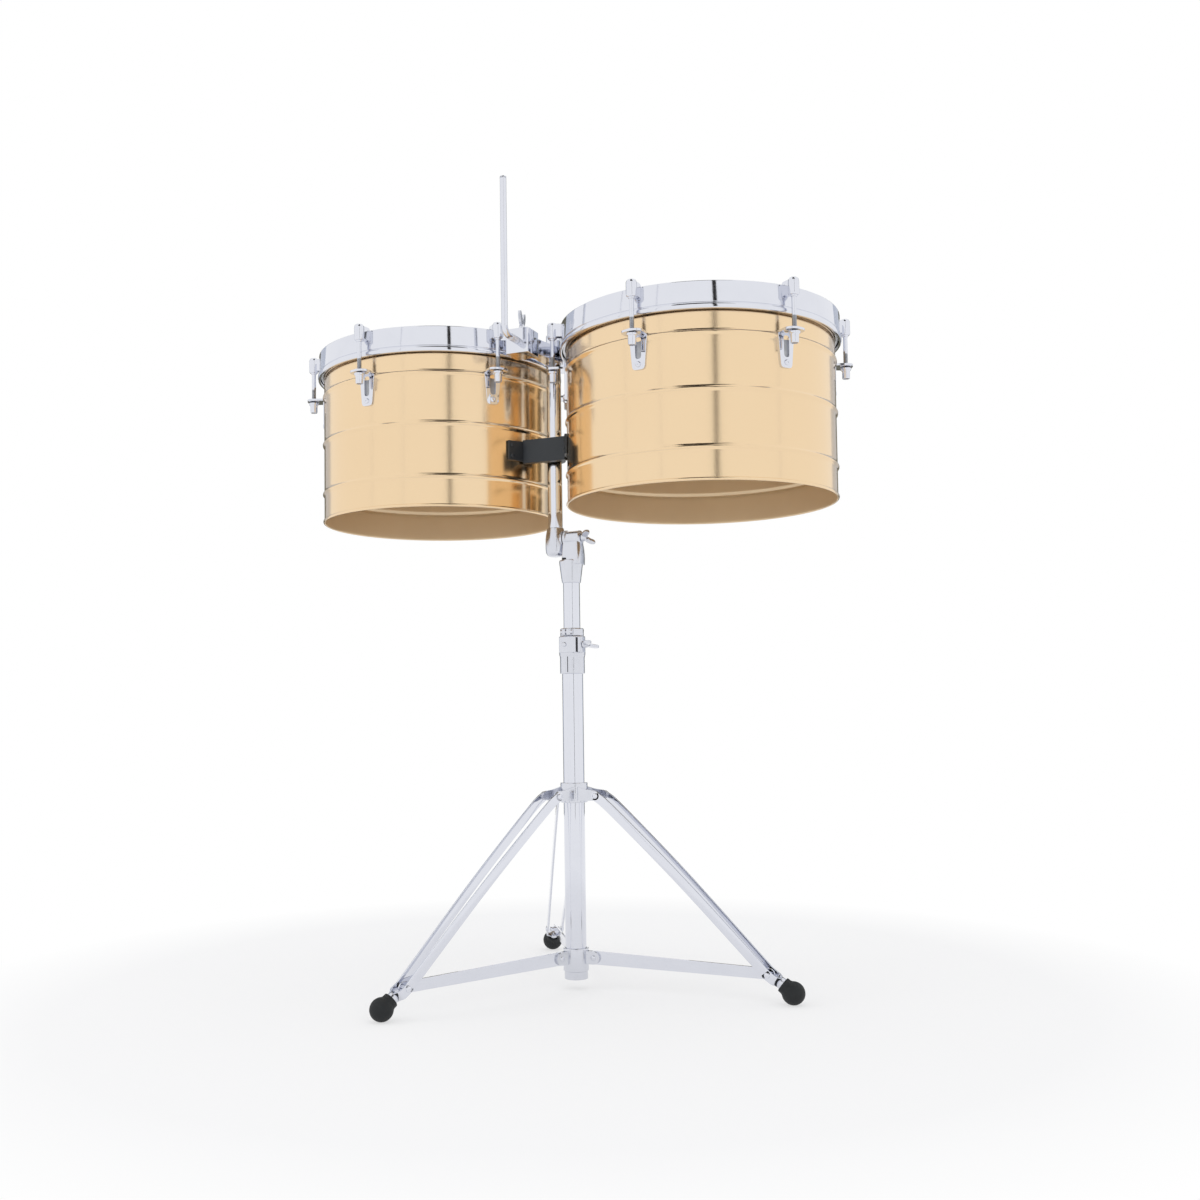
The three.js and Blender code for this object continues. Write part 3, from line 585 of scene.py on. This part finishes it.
def wing(span, rise, thick, hub, hubTall, stem=0):
    # Wing screw on +Z: a waisted hub and a pair of rounded ears, cast in one.
    half = span / 2
    right = softCorners([[hub * 0.45, 0.12 * rise], [half * 0.72, 0.30 * rise], [half, 0.62 * rise], [half * 0.98, rise],
                         [half * 0.58, rise * 0.98], [half * 0.34, 0.66 * rise], [hub * 0.3, 0.62 * rise]],
                        [1, 3, 4, 4.5, 4.5, 4, 2], 6)
    left = right * [-1, 1]
    shapes = [plate(right, -thick / 2, thick / 2, "y"), plate(left[::-1], -thick / 2, thick / 2, "y")]
    shapes.append(turned(softCorners([[0, 0], [hub, 0], [hub * 0.86, hubTall], [0, hubTall]], [0, 0.8, 1.8, 0], 5, closed=False), 40))
    if stem:
        shapes.append(turned(softCorners([[0, -stem], [3, -stem], [3, 0.5], [0, 0.5]], [0, 0.5, 0, 0], 4, closed=False), 24))
    return shapes


tilterDims = {"teeth": 30}


def tilter():
    z0, px = columnDims["tiltHeight"], columnDims["postX"]
    cup = softCorners([[0, z0 - 27.4], [9.5, z0 - 27.4], [14.8, z0 - 22.5], [15.6, z0 - 12], [15.5, z0 + 3], [12.6, z0 + 17],
                       [11.4, z0 + 17], [11.4, z0 + 6], [0, z0 + 6]], [0, 5, 6, 6, 9, 1, 0.3, 0.3, 0], 7, closed=False)
    upper = [moved(turned(cup, 64), (px, 0, 0))]
    cheek = turned(softCorners([[0, px + 9], [11.2, px + 9], [12.3, px + 14.6], [0, px + 14.6]], [0, 1, 0.5, 0], 4, closed=False), 90,
                   lambda z, v: 0.3 * np.cos(tilterDims["teeth"] * v) * (z > px + 12))
    upper.append(moved(alongX(cheek), (0, 0, z0)))
    piece("tilterUpper", upper, "drums", castChrome, ["tilter_upper"], bevel=0.4, sharp=40, spot=axis)
    left = px + 15.9
    cone = softCorners([[0, 625], [13.0, 625], [13.0, 613], [14.1, 613], [14.7, 616], [18.4, 645], [17.8, 648], [0, 648]],
                       [0, 0.2, 0.3, 0.8, 3, 3, 1, 0], 6, closed=False)
    lower = [turned(cone, 64)]
    heights, depths, rights = [641, 652, 664, 676], [15.2, 14.6, 12.8, 9.8], [18.2, 18.8, 18.6, 17.6]
    neck = [softCorners([[left, -h], [r, -h], [r, h], [left, h]], [1.5, 6, 6, 1.5], 6) for h, r in zip(depths, rights)]
    lower.append(carried(np.array(neck), np.outer(heights, (0, 0, 1)), (1, 0, 0)))
    boss = turned(softCorners([[0, left], [12.4, left], [12.4, left + 4], [11.0, left + 5], [11.4, 16], [9.8, 18], [0, 18]],
                              [0, 0.4, 0.4, 0.8, 2, 1.6, 0], 5, closed=False), 90,
                  lambda x, v: 0.3 * np.cos(tilterDims["teeth"] * v) * (x < left + 4.5))
    lower.append(moved(alongX(boss), (0, 0, z0)))
    piece("tilterLower", lower, "column", castChrome, ["tilter_lower"], bevel=0.5, sharp=40, spot=axis)
    # A near-black patch on the neck front: painted shade of the opening there.
    window = plate(softCorners([[-8.4, 643.5], [-2.6, 643.5], [-2.6, 651], [-8.4, 651]], 0.8, 4), -15.6, -14.6, "y")
    piece("tilterWindowShade", [window], "column", shade, (), spot=axis)
    screw = [moved((s[0], s[1]), turn=62) for s in wing(34, 17, 4.2, 6.4, 8)]
    screw = [(s[0][:, [2, 1, 0]] * [1, 1, -1], s[1]) for s in screw]
    piece("tilterScrew", [moved(s, (18.35, 0, z0)) for s in screw], "tilter_screw", castChrome, ["tilter_screw"], bevel=1.2, sharp=50, spot=axis)


tilter()

def heightClamp():
    profile = softCorners([[16.2, 474], [18.8, 474], [18.8, 499.5], [20, 503], [20, 531], [13.0, 531], [13.0, 500.3], [16.2, 500.3]],
                          [0.3, 1.2, 2, 1.5, 1.4, 0.4, 0.3, 0.3], 5)
    shapes = [turned(profile, 72)]
    front = softCorners([[-13, -24], [15.8, -24], [15.8, -14.2], [-13, -14.2]], [8, 1.5, 0.6, 0.6], 7)
    shapes.append(plate(front, 506, 529, "z"))
    ear = softCorners([[18.7, -24], [25, -24], [25, -6], [18.7, -3]], [1.5, 4, 4, 0.8], 6)
    shapes.append(plate(ear, 506, 529, "z"))
    bridge = softCorners([[14, -9], [20, -9], [20, -3], [14, -1]], 0.8, 4)
    shapes.append(plate(bridge, 507, 528, "z"))
    screwHead = turned(softCorners([[0, 0], [3.6, 0], [3.6, 1.8], [2.4, 2.6], [0, 2.6]], [0, 0.1, 0.8, 0.8, 0], 4, closed=False), 24)
    shapes.append(moved((screwHead[0][:, [0, 2, 1]] * [1, -1, 1], screwHead[1]), (-3, -23.9, 518)))
    piece("heightClamp", shapes, "base", castChrome, ["height_clamp"], bevel=0.6, sharp=40, spot=axis)
    # A near-black sheet in the clamp's split: painted shade in the gap.
    recess = plate(softCorners([[15.6, -23], [18.9, -23], [18.9, -15], [15.6, -15]], 0.1, 2), 507, 528, "z")
    piece("clampGapShade", [recess], "base", shade, (), spot=axis)
    # A near-black line on the sleeve front: painted shade of its slot.
    slotShadeLine = plate([[-0.5, -19.05], [0.5, -19.05], [0.5, -18.2], [-0.5, -18.2]], 476, 500, "z")
    piece("sleeveSlotShade", [slotShadeLine], "base", shade, (), spot=axis)
    screw = [moved((s[0], s[1]), turn=80) for s in wing(40, 19, 4.2, 5.4, 8)]
    screw = [(s[0][:, [2, 1, 0]] * [1, 1, -1], s[1]) for s in screw]
    piece("heightScrew", [moved(s, (25.35, -17.6, 517)) for s in screw], "height_screw", castChrome, ["height_screw"], bevel=1.2, sharp=50, spot=axis)
    lock = turned(softCorners([[13.0, 531.4], [18, 531.4], [18, 543.3], [13.0, 543.3]], [0.3, 1, 2.2, 0.5], 5), 72)
    lugL = plate(softCorners([[-7, -25], [-1, -25], [-1, -15], [-7, -15]], [3, 0.6, 0.4, 0.4], 5), 532.5, 541.3, "z")
    lugR = plate(softCorners([[1, -25], [7, -25], [7, -15], [1, -15]], [0.6, 3, 0.4, 0.4], 5), 532.5, 541.3, "z")
    key = turned(softCorners([[0, -9.5], [3.1, -9.5], [3.1, 9.5], [0, 9.5]], [0, 1, 1, 0], 4, closed=False), 24)
    piece("memoryLock", [lock, lugL, lugR, moved(alongX(key), (0, -20.6, 537))], "column", castChrome, ["memory_lock"], bevel=0.4, sharp=40, spot=axis)


heightClamp()
print("column made")


# bracket between post and shells

def barBracket():
    low, high = 798, 834
    px = columnDims["postX"]
    shapes = []
    ends = {}
    for size, sign in (("small", 1), ("large", -1)):
        centre = (middle(size + "_hoop") - [tubeX, 0, 0]) / mm
        radius = drumSizes[size]
        mid = -np.arcsin((centre[1] + 27.5) / radius) * 180 / pi - 3
        a = np.radians(np.linspace(mid - 6.5, mid + 6.5, 14))
        arc = np.concatenate([np.stack([np.cos(a), np.sin(a)], 1) * (radius + 0.5), np.stack([np.cos(a), np.sin(a)], 1)[::-1] * (radius + 4.3)])
        arc = arc * [sign, 1] + centre[:2]
        shapes.append(plate(arc, low + 3, high - 3, "z"))
        for z in (low + 10, high - 10):
            b = radians(mid - 4.6)
            head = turned(softCorners([[0, 0], [3.4, 0], [3.4, 1.4], [2.2, 2.2], [0, 2.2]], [0, 0.1, 0.7, 0.7, 0], 4, closed=False), 20)
            bolt = moved(alongX(head), (radius + 4.2, 0, z))
            bolt = moved(bolt, turn=np.degrees(b))
            bolt = (bolt[0] * [sign, 1, 1], bolt[1])
            shapes.append(moved(bolt, (centre[0], centre[1], 0)))
        ends[size] = centre[0] + sign * np.sqrt((radius + 2) ** 2 - (centre[1] + 27.5) ** 2)
    bar = softCorners([[ends["small"], -33], [ends["large"], -33], [ends["large"], -22], [ends["small"], -22]], 1.5, 5)
    shapes.append(plate(bar, low, high, "z"))
    grip = turned(softCorners([[11.5, low + 4], [17.2, low + 4], [17.2, high - 4], [11.5, high - 4]], [0.4, 1.5, 1.5, 0.4], 5), 56)
    shapes.append(moved(grip, (px, 0, 0)))
    block = softCorners([[px - 16, -24], [px + 16, -24], [px + 16, -11.6], [px - 16, -11.6]], [1, 1, 5, 5], 6)
    shapes.append(plate(block, low + 4, high - 4, "z"))
    piece("barBracket", shapes, "drums", satinBlack, ["bar_bracket"], bevel=0.9, sharp=40, spot=axis)


barBracket()


# accessory holder

def accessory():
    low, high = (blockLow - axis) / mm, (blockHigh - axis) / mm
    x = ((rodLow + rodHigh)[0] / 2 - tubeX) / mm
    px = columnDims["postX"]
    front = low[1]
    shapes = []
    body = softCorners([[x - 18.5, front], [x + 18.5, front], [x + 18.5, front + 38], [x - 18.5, front + 38]], 2.2, 5)
    shapes.append(plate(body, low[2], high[2], "z"))
    ring = turned(softCorners([[11.5, low[2] + 5], [14.5, low[2] + 5], [14.5, high[2] - 9], [11.5, high[2] - 9]], 0.6, 4), 56)
    shapes.append(moved(ring, (px, 0, 0)))
    bar = softCorners([[x + 2, front + 36], [x + 18.4, front + 36], [px + 13.8, -3.5], [px + 8, -10.6], [px - 8, -10.6], [px - 13.8, -3.5]], [0.5, 0.5, 2, 1, 1, 2], 5)
    shapes.append(plate(bar, low[2] + 5, high[2] - 9, "z"))
    piece("accessoryBlock", shapes, "drums", chrome, ["accessory_block"], bevel=1.1, sharp=40, spot=axis)

    rodZ = low[2] + 18.5
    upX = x
    upY = (rodLow[1] / mm) + 4.75
    a = np.radians(np.linspace(0, 90, 16))
    bend = 13.0
    path = np.concatenate([
        [[upX, front - 0.4, rodZ]],
        np.stack([a * 0 + upX, upY + bend - bend * np.sin(a), rodZ + bend - bend * np.cos(a)], 1),
        np.stack([np.full(12, upX), np.full(12, upY), np.linspace(rodZ + bend + 3, 1203 - 1.2, 12)], 1)])
    shapes = [carried(circle(4.75, 32), path, (1, 0, 0))]
    shapes.append(moved(turned(softCorners([[0, -2], [4.75, -2], [4.75, 1.2], [0, 1.2]], [0, 0, 1.1, 0], 5, closed=False), 32), (upX, upY, 1203 - 1.2)))
    knurl = lambda z, v: 0.28 * np.maximum(np.cos(16 * v + z * 2.2), np.cos(16 * v - z * 2.2)) * (np.abs(z) > 0)
    depth = np.linspace(0, 22, 110)
    grip = turned(np.concatenate([[[1e-7, 0]], np.stack([np.full(110, 5.0), depth], 1), [[1e-7, 22]]]), 120, lambda z, v: knurl(z, v) * (z > 0.2) * (z < 21.8))
    grip = (grip[0][:, [0, 2, 1]] * [1, -1, 1], gridFaces(112, 120, False))
    shapes.append(moved(grip, (upX, front - 0.5, rodZ)))
    piece("accessoryRod", shapes, "accessory_rod", chrome, ["accessory_rod"], sharp=50, spot=axis)
    screw = [moved(s, (x, front + 19, high[2] + 3.4), turn=0) for s in [moved(w, turn=98) for w in wing(26, 26, 4.0, 4.6, 7)]]
    stem = turned(softCorners([[0, 0.35], [3, 0.35], [3, 4], [0, 4]], [0, 0.3, 0, 0], 3, closed=False), 28)
    screw.append(moved(stem, (x, front + 19, high[2])))
    piece("accessoryScrew", screw, "accessory_screw", castChrome, ["accessory_screw"], bevel=1.2, sharp=50, spot=axis)


accessory()
print("bracket and accessory holder made")


# folding legs

legDims = {"pivotR": 42, "pivotZ": 290, "rivetR": 297, "rivetZ": 41, "footR": 331.3, "footZ": 16.2}


def smoothLine(points, count):
    # A Catmull-Rom line through the points, as one array: each stretch is a cubic in its own parameter.
    p = np.asarray(points, float)
    padded = np.concatenate([[2 * p[0] - p[1]], p, [2 * p[-1] - p[-2]]])
    t = np.linspace(0, len(p) - 1 - 1e-9, count)
    i = t.astype(int)
    f = (t - i)[:, None]
    a, b, c, d = (padded[i + k] for k in range(4))
    return 0.5 * (2 * b + (c - a) * f + (2 * a - 5 * b + 4 * c - d) * f ** 2 + (3 * b - a - 3 * c + d) * f ** 3)


def legShapes():
    d = legDims
    line = smoothLine([[d["pivotR"], d["pivotZ"]], [d["pivotR"] + 26, d["pivotZ"] - 21],
                       [169.5, 171.7], [d["rivetR"] - 14, d["rivetZ"] + 14], [d["rivetR"], d["rivetZ"]],
                       [d["footR"] - 16.6, d["footZ"] + 12.45]], 70)
    step = np.gradient(line, axis=0)
    step /= np.linalg.norm(step, axis=1, keepdims=True)
    up = np.stack([-step[:, 1], step[:, 0]], 1)
    spread = np.interp(line[:, 0], [d["pivotR"], d["pivotR"] + 12, d["rivetR"] - 16, d["rivetR"] + 9, d["footR"] - 18], [17.2, 17.2, 11, 11, 1])
    shapes = []
    for side in (-1, 1):
        path = np.stack([line[:, 0], side * (spread + 1.5), line[:, 1]], 1)
        strip = softCorners([[-1.5, -6.75], [1.5, -6.75], [1.5, 6.75], [-1.5, 6.75]], 0.5, 4)
        shapes.append(carried(strip, path, (0, 1, 0)))
        end = turned(softCorners([[0, -1.5], [6.75, -1.5], [6.75, 1.5], [0, 1.5]], [0, 0.5, 0.5, 0], 4, closed=False), 48)
        shapes.append(moved((end[0][:, [0, 2, 1]] * [1, -1, 1], end[1]), (d["pivotR"], side * 18.7, d["pivotZ"])))
        dome = softCorners([[0, 0], [4.4, 0], [4.2, 1.1], [2.6, 2.1], [0, 2.3]], [0, 0.2, 0.8, 1.2, 0], 5, closed=False)
        for r, y, z in ((d["pivotR"], 20.0, d["pivotZ"]), (d["rivetR"], 13.8, d["rivetZ"])):
            rivet = turned(dome, 32)
            flip = (rivet[0][:, [0, 2, 1]] * [1, side, 1], rivet[1])
            shapes.append(moved(flip, (r, side * y, z)))
    return shapes


def atFoot(shape):
    turn = np.array(Vector((0, 0, 1)).rotation_difference(Vector((-0.8, 0, 0.6))).to_matrix())
    return shape[0] @ turn.T + np.array([legDims["footR"], 0, legDims["footZ"]]) * mm, shape[1]


def footShape():
    # Ball and sleeve, then everything below the floor is lifted to it.
    ball = [[16.6 * sin(a), -16.6 * cos(a)] for a in np.radians(np.linspace(0, 128, 30))]
    profile = np.array(ball + [[12.1, 11.6], [11.5, 13.5], [11.3, 18.4], [10.6, 19], [9.1, 19], [8.9, 18.4], [8.9, 1.8], [0, 1.8]])
    points, faces = atFoot(turned(profile, 64))
    points[:, 2] = np.maximum(points[:, 2], 0.0)
    return points, faces


def braceShapes():
    d = legDims
    a = np.linspace(-pi / 2, pi / 2, 14)
    far = np.stack([d["rivetR"] + 8 * np.cos(a), d["rivetZ"] + 8 * np.sin(a)], 1)
    near = np.stack([30 - 10.1 * np.cos(a), 47.5 + 10.1 * np.sin(a)], 1)[::-1]
    outline = np.concatenate([far, near])
    shapes = [plate(outline, -1.5, 1.5, "y")]
    spacer = turned(softCorners([[0, -8], [4, -8], [4, 8], [0, 8]], [0, 0.5, 0.5, 0], 4, closed=False), 32)
    shapes.append(moved((spacer[0][:, [0, 2, 1]] * [1, -1, 1], spacer[1]), (d["rivetR"], 0, d["rivetZ"])))
    return shapes


def legs():
    for k in range(3):
        turn = 120 * k
        piece(f"leg{k + 1}", [moved(s, turn=turn) for s in legShapes()], f"leg_{k + 1}", chrome, [f"leg_{k + 1}"], sharp=45, spot=axis)
        ferrule = turned(softCorners([[0, 2.2], [8.5, 2.2], [8.5, 24], [6.5, 26], [0, 26]], [0, 0.5, 1.5, 1.5, 0], 5, closed=False), 40)
        piece(f"ferrule{k + 1}", [moved(atFoot(ferrule), turn=turn)], f"leg_{k + 1}", castChrome, (), spot=axis)
        piece(f"foot{k + 1}", [moved(footShape(), turn=turn)], f"leg_{k + 1}", blackRubber, [f"foot_{k + 1}"], sharp=50, spot=axis)
        piece(f"brace{k + 1}", [moved(s, turn=turn) for s in braceShapes()], f"brace_{k + 1}", chrome, [f"brace_{k + 1}"], bevel=0.6, sharp=45, spot=axis)


legs()


def collarAndHub():
    ring = turned(softCorners([[16.2, 279], [20.5, 279], [20.5, 309], [16.2, 309]], [0.3, 1.2, 1.2, 0.3], 5), 72)
    shapes = [ring]
    for k in range(3):
        for side in (-1, 1):
            ear = softCorners([[13, 282], [42, 283], [48, 286.5], [48, 293.5], [42, 297.5], [30, 298.5], [13, 303]], [0.3, 4, 4, 4, 4, 6, 0.3], 6)
            low = side * 15.4
            shapes.append(moved(plate(ear, low - 1.5, low + 1.5, "y"), turn=120 * k))
    piece("legCollar", shapes, "collar", castChrome, ["leg_collar"], bevel=0.5, sharp=40, spot=axis)
    body = softCorners([[16.2, 15], [17.7, 15], [17.7, 26.4], [19.2, 27.4], [19.2, 61], [16.2, 61]], [0.3, 0.8, 0.5, 0.8, 1.2, 0.3], 5)
    shapes = [turned(body, 72)]
    for k in range(3):
        a = np.linspace(-pi / 2, pi / 2, 14)
        knuckle = np.concatenate([[[15, 38]], np.stack([30 + 9.5 * np.cos(a), 47.5 + 9.5 * np.sin(a)], 1), [[15, 57]]])
        for side in (-1, 1):
            low = side * 3.8
            shapes.append(moved(plate(knuckle, low - 2, low + 2, "y"), turn=120 * k))
            dome = turned(softCorners([[0, 0], [4.2, 0], [3.4, 1.5], [0, 1.9]], [0, 0.3, 1, 0], 4, closed=False), 28)
            flip = (dome[0][:, [0, 2, 1]] * [1, side, 1], dome[1])
            shapes.append(moved(moved(flip, (30, side * 5.7, 47.5)), turn=120 * k))
    piece("hub", shapes, "base", castChrome, ["hub"], bevel=0.6, sharp=40, spot=axis)


collarAndHub()
print("legs made")


# studio

stageDims = {"floorTone": (0.90, 0.90, 0.905, 1), "worldTone": (0.92, 0.93, 0.96, 1), "worldLevel": 0.70, "whiteNear": 0.6}


def studioCard(name, azimuth, distance, width, low, high, tone, level=0.0):
    # An upright card facing the drums, seen in reflections only; azimuth 0 is the audience's side.
    a = radians(azimuth)
    out, along = np.array([sin(a), -cos(a), 0]), np.array([cos(a), sin(a), 0])
    u = np.linspace(-0.5, 0.5, 2)[None, :, None] * width * along
    v = np.array([low, high])[:, None, None] * np.array([0, 0, 1])
    points = (out * distance + u + v).reshape(-1, 3)
    return stagePiece(name, points, gridFaces(2, 2, False, False), tone, level)


def stagePiece(name, points, faces, tone, level=0.0, hidden=True):
    mesh = bpy.data.meshes.new(name)
    mesh.from_pydata(np.asarray(points).tolist(), [], faces)
    card = bpy.data.objects.new(name, mesh)
    bpy.context.scene.collection.objects.link(card)
    mesh.materials.append(finish(name + "Paint", tone, {"Roughness": 0.8, "Specular IOR Level": 0.0,
                                                        "Emission Color": tone, "Emission Strength": level}))
    if hidden:
        card.visible_camera = card.visible_diffuse = card.visible_shadow = False
    return card


def whitenFloor(paint):
    # Seen directly or in metal, the floor turns to plain white with distance; near the feet it keeps their shadow.
    tree = paint.node_tree
    out = next(n for n in tree.nodes if n.type == "OUTPUT_MATERIAL")
    shader = next(n for n in tree.nodes if n.type == "BSDF_PRINCIPLED")
    path = tree.nodes.new("ShaderNodeLightPath")
    rays = [Socket(tree, path.outputs[kind]) for kind in ("Is Camera Ray", "Is Glossy Ray", "Is Transmission Ray")]
    place = node(tree, "ShaderNodeTexCoord", output=3)
    far = node(tree, "ShaderNodeVectorMath", {"operation": "LENGTH"}, {0: place}, output=1)
    fade = (far * 1.5 - 0.5).most(stageDims["whiteNear"]).least(1.0)
    white = node(tree, "ShaderNodeEmission", {}, {"Color": (1, 1, 1, 1), "Strength": 1.0})
    seen = rays[0].most(rays[1]).most(rays[2])
    mix = node(tree, "ShaderNodeMixShader", {}, {0: seen * fade, 1: Socket(tree, shader.outputs[0]), 2: white})
    tree.links.new(mix.link, out.inputs["Surface"])


def studio():
    size = 30
    corners = np.array([[-size, -size, -0.0005], [size, -size, -0.0005], [size, size, -0.0005], [-size, size, -0.0005]])
    floor = stagePiece("studioFloor", corners, [[0, 1, 2, 3]], stageDims["floorTone"], hidden=False)
    whitenFloor(floor.data.materials[0])
    world = bpy.context.scene.world or bpy.data.worlds.new("studio")
    bpy.context.scene.world = world
    world.use_nodes = True
    tree = world.node_tree
    tree.nodes.clear()
    out = tree.nodes.new("ShaderNodeOutputWorld")
    path = tree.nodes.new("ShaderNodeLightPath")
    rays = [Socket(tree, path.outputs[kind]) for kind in ("Is Camera Ray", "Is Glossy Ray", "Is Transmission Ray")]
    plain = node(tree, "ShaderNodeBackground", {}, {"Color": stageDims["worldTone"], "Strength": stageDims["worldLevel"]})
    white = node(tree, "ShaderNodeBackground", {}, {"Color": (1, 1, 1, 1), "Strength": 1.0})
    mix = node(tree, "ShaderNodeMixShader", {}, {0: rays[0].most(rays[1]).most(rays[2]), 1: plain, 2: white})
    tree.links.new(mix.link, out.inputs["Surface"])

    lamps = {  # name: place, size, power, aim
        "leftSoftbox": ((-2.6, -1.6, 2.2), (1.6, 2.2), 20, (0, 0, 0.7)),
        "rightSoftbox": ((2.8, -2.2, 2.0), (1.6, 2.2), 18, (0, 0, 0.7)),
        "topSoftbox": ((0.2, 0.2, 3.4), (2.6, 2.6), 24, (0, 0, 0.8)),
    }
    for name, (place, extent, power, aim) in lamps.items():
        light = bpy.data.lights.new(name, "AREA")
        light.shape, light.size, light.size_y, light.energy = "RECTANGLE", extent[0], extent[1], power
        lamp = bpy.data.objects.new(name, light)
        bpy.context.scene.collection.objects.link(lamp)
        lamp.location = place
        lamp.rotation_euler = (Vector(aim) - Vector(place)).to_track_quat("-Z", "Y").to_euler()
        lamp.visible_glossy = lamp.visible_camera = False

    dark, grey, pale, olive = (0.02, 0.018, 0.016, 1), (0.36, 0.38, 0.42, 1), (0.62, 0.62, 0.64, 1), (0.13, 0.125, 0.095, 1)
    cards = {  # name: azimuth, distance, width, low, high, tone
        "darkSeam": (33.5, 3.2, 0.17, 0.0, 4.5, dark, 0.0),
        "leftFlag": (203 - 21, 3.4, 1.5, 0, 3.2, olive, 0.3),
        "rightFlag": (203 + 21, 3.4, 1.5, 0, 3.2, olive, 0.3),
        "leftBlind": (203 - 42, 3.4, 1.1, 0, 3.2, grey, 0.8),
        "rightBlind": (203 + 42, 3.4, 1.1, 0, 3.2, grey, 0.8),
        "gapFlag": (180, 1.15, 0.8, 0.62, 1.15, olive, 0.3),
        "leftPanelSeam": (-43, 3.2, 0.05, 0, 4.5, pale, 0.4),
        "middlePanelSeam": (-11, 3.2, 0.05, 0, 4.5, pale, 0.4),
        "rightPanelSeam": (84, 3.2, 0.05, 0, 4.5, pale, 0.4),
    }
    for name, (azimuth, distance, width, low, high, tone, level) in cards.items():
        studioCard(name, azimuth, distance, width, low, high, tone, level)
    sweep = np.radians(np.linspace(0, 52, 14))  # a dark boom overhead, in front
    rim = [np.stack([d * np.sin(sweep), -d * np.cos(sweep), np.full(14, z)], 1) for d, z in ((2.6, 2.7), (0.5, 3.2))]
    stagePiece("darkBoom", np.concatenate(rim), gridFaces(2, 14, False, False), dark)


studio()

cameraDims = {"fromTube": (0.76284, -1.8044, 0.4097), "azimuth": 23.06, "rise": 0.0523, "roll": -0.0127, "lens": 38.51, "shift": (0.0258, 0.0407)}


def camera():
    d = cameraDims
    a, t, r = radians(d["azimuth"]), d["rise"], d["roll"]
    forward = Vector((-sin(a) * cos(t), cos(a) * cos(t), sin(t)))
    right = Vector((cos(a), sin(a), 0))
    up = right.cross(forward)
    rolledRight = cos(r) * right + sin(r) * up
    rolledUp = -sin(r) * right + cos(r) * up
    lens = bpy.data.cameras.new("view")
    lens.lens, lens.sensor_width, lens.sensor_fit = d["lens"], 36, "HORIZONTAL"
    lens.shift_x, lens.shift_y = d["shift"]
    view = bpy.data.objects.new("view", lens)
    bpy.context.scene.collection.objects.link(view)
    frameAxes = Matrix((rolledRight, rolledUp, -forward)).transposed().to_4x4()
    view.matrix_world = Matrix.Translation(axis + np.array(d["fromTube"])) @ frameAxes
    bpy.context.scene.camera = view


camera()
bpy.context.scene.view_settings.view_transform = "Standard"
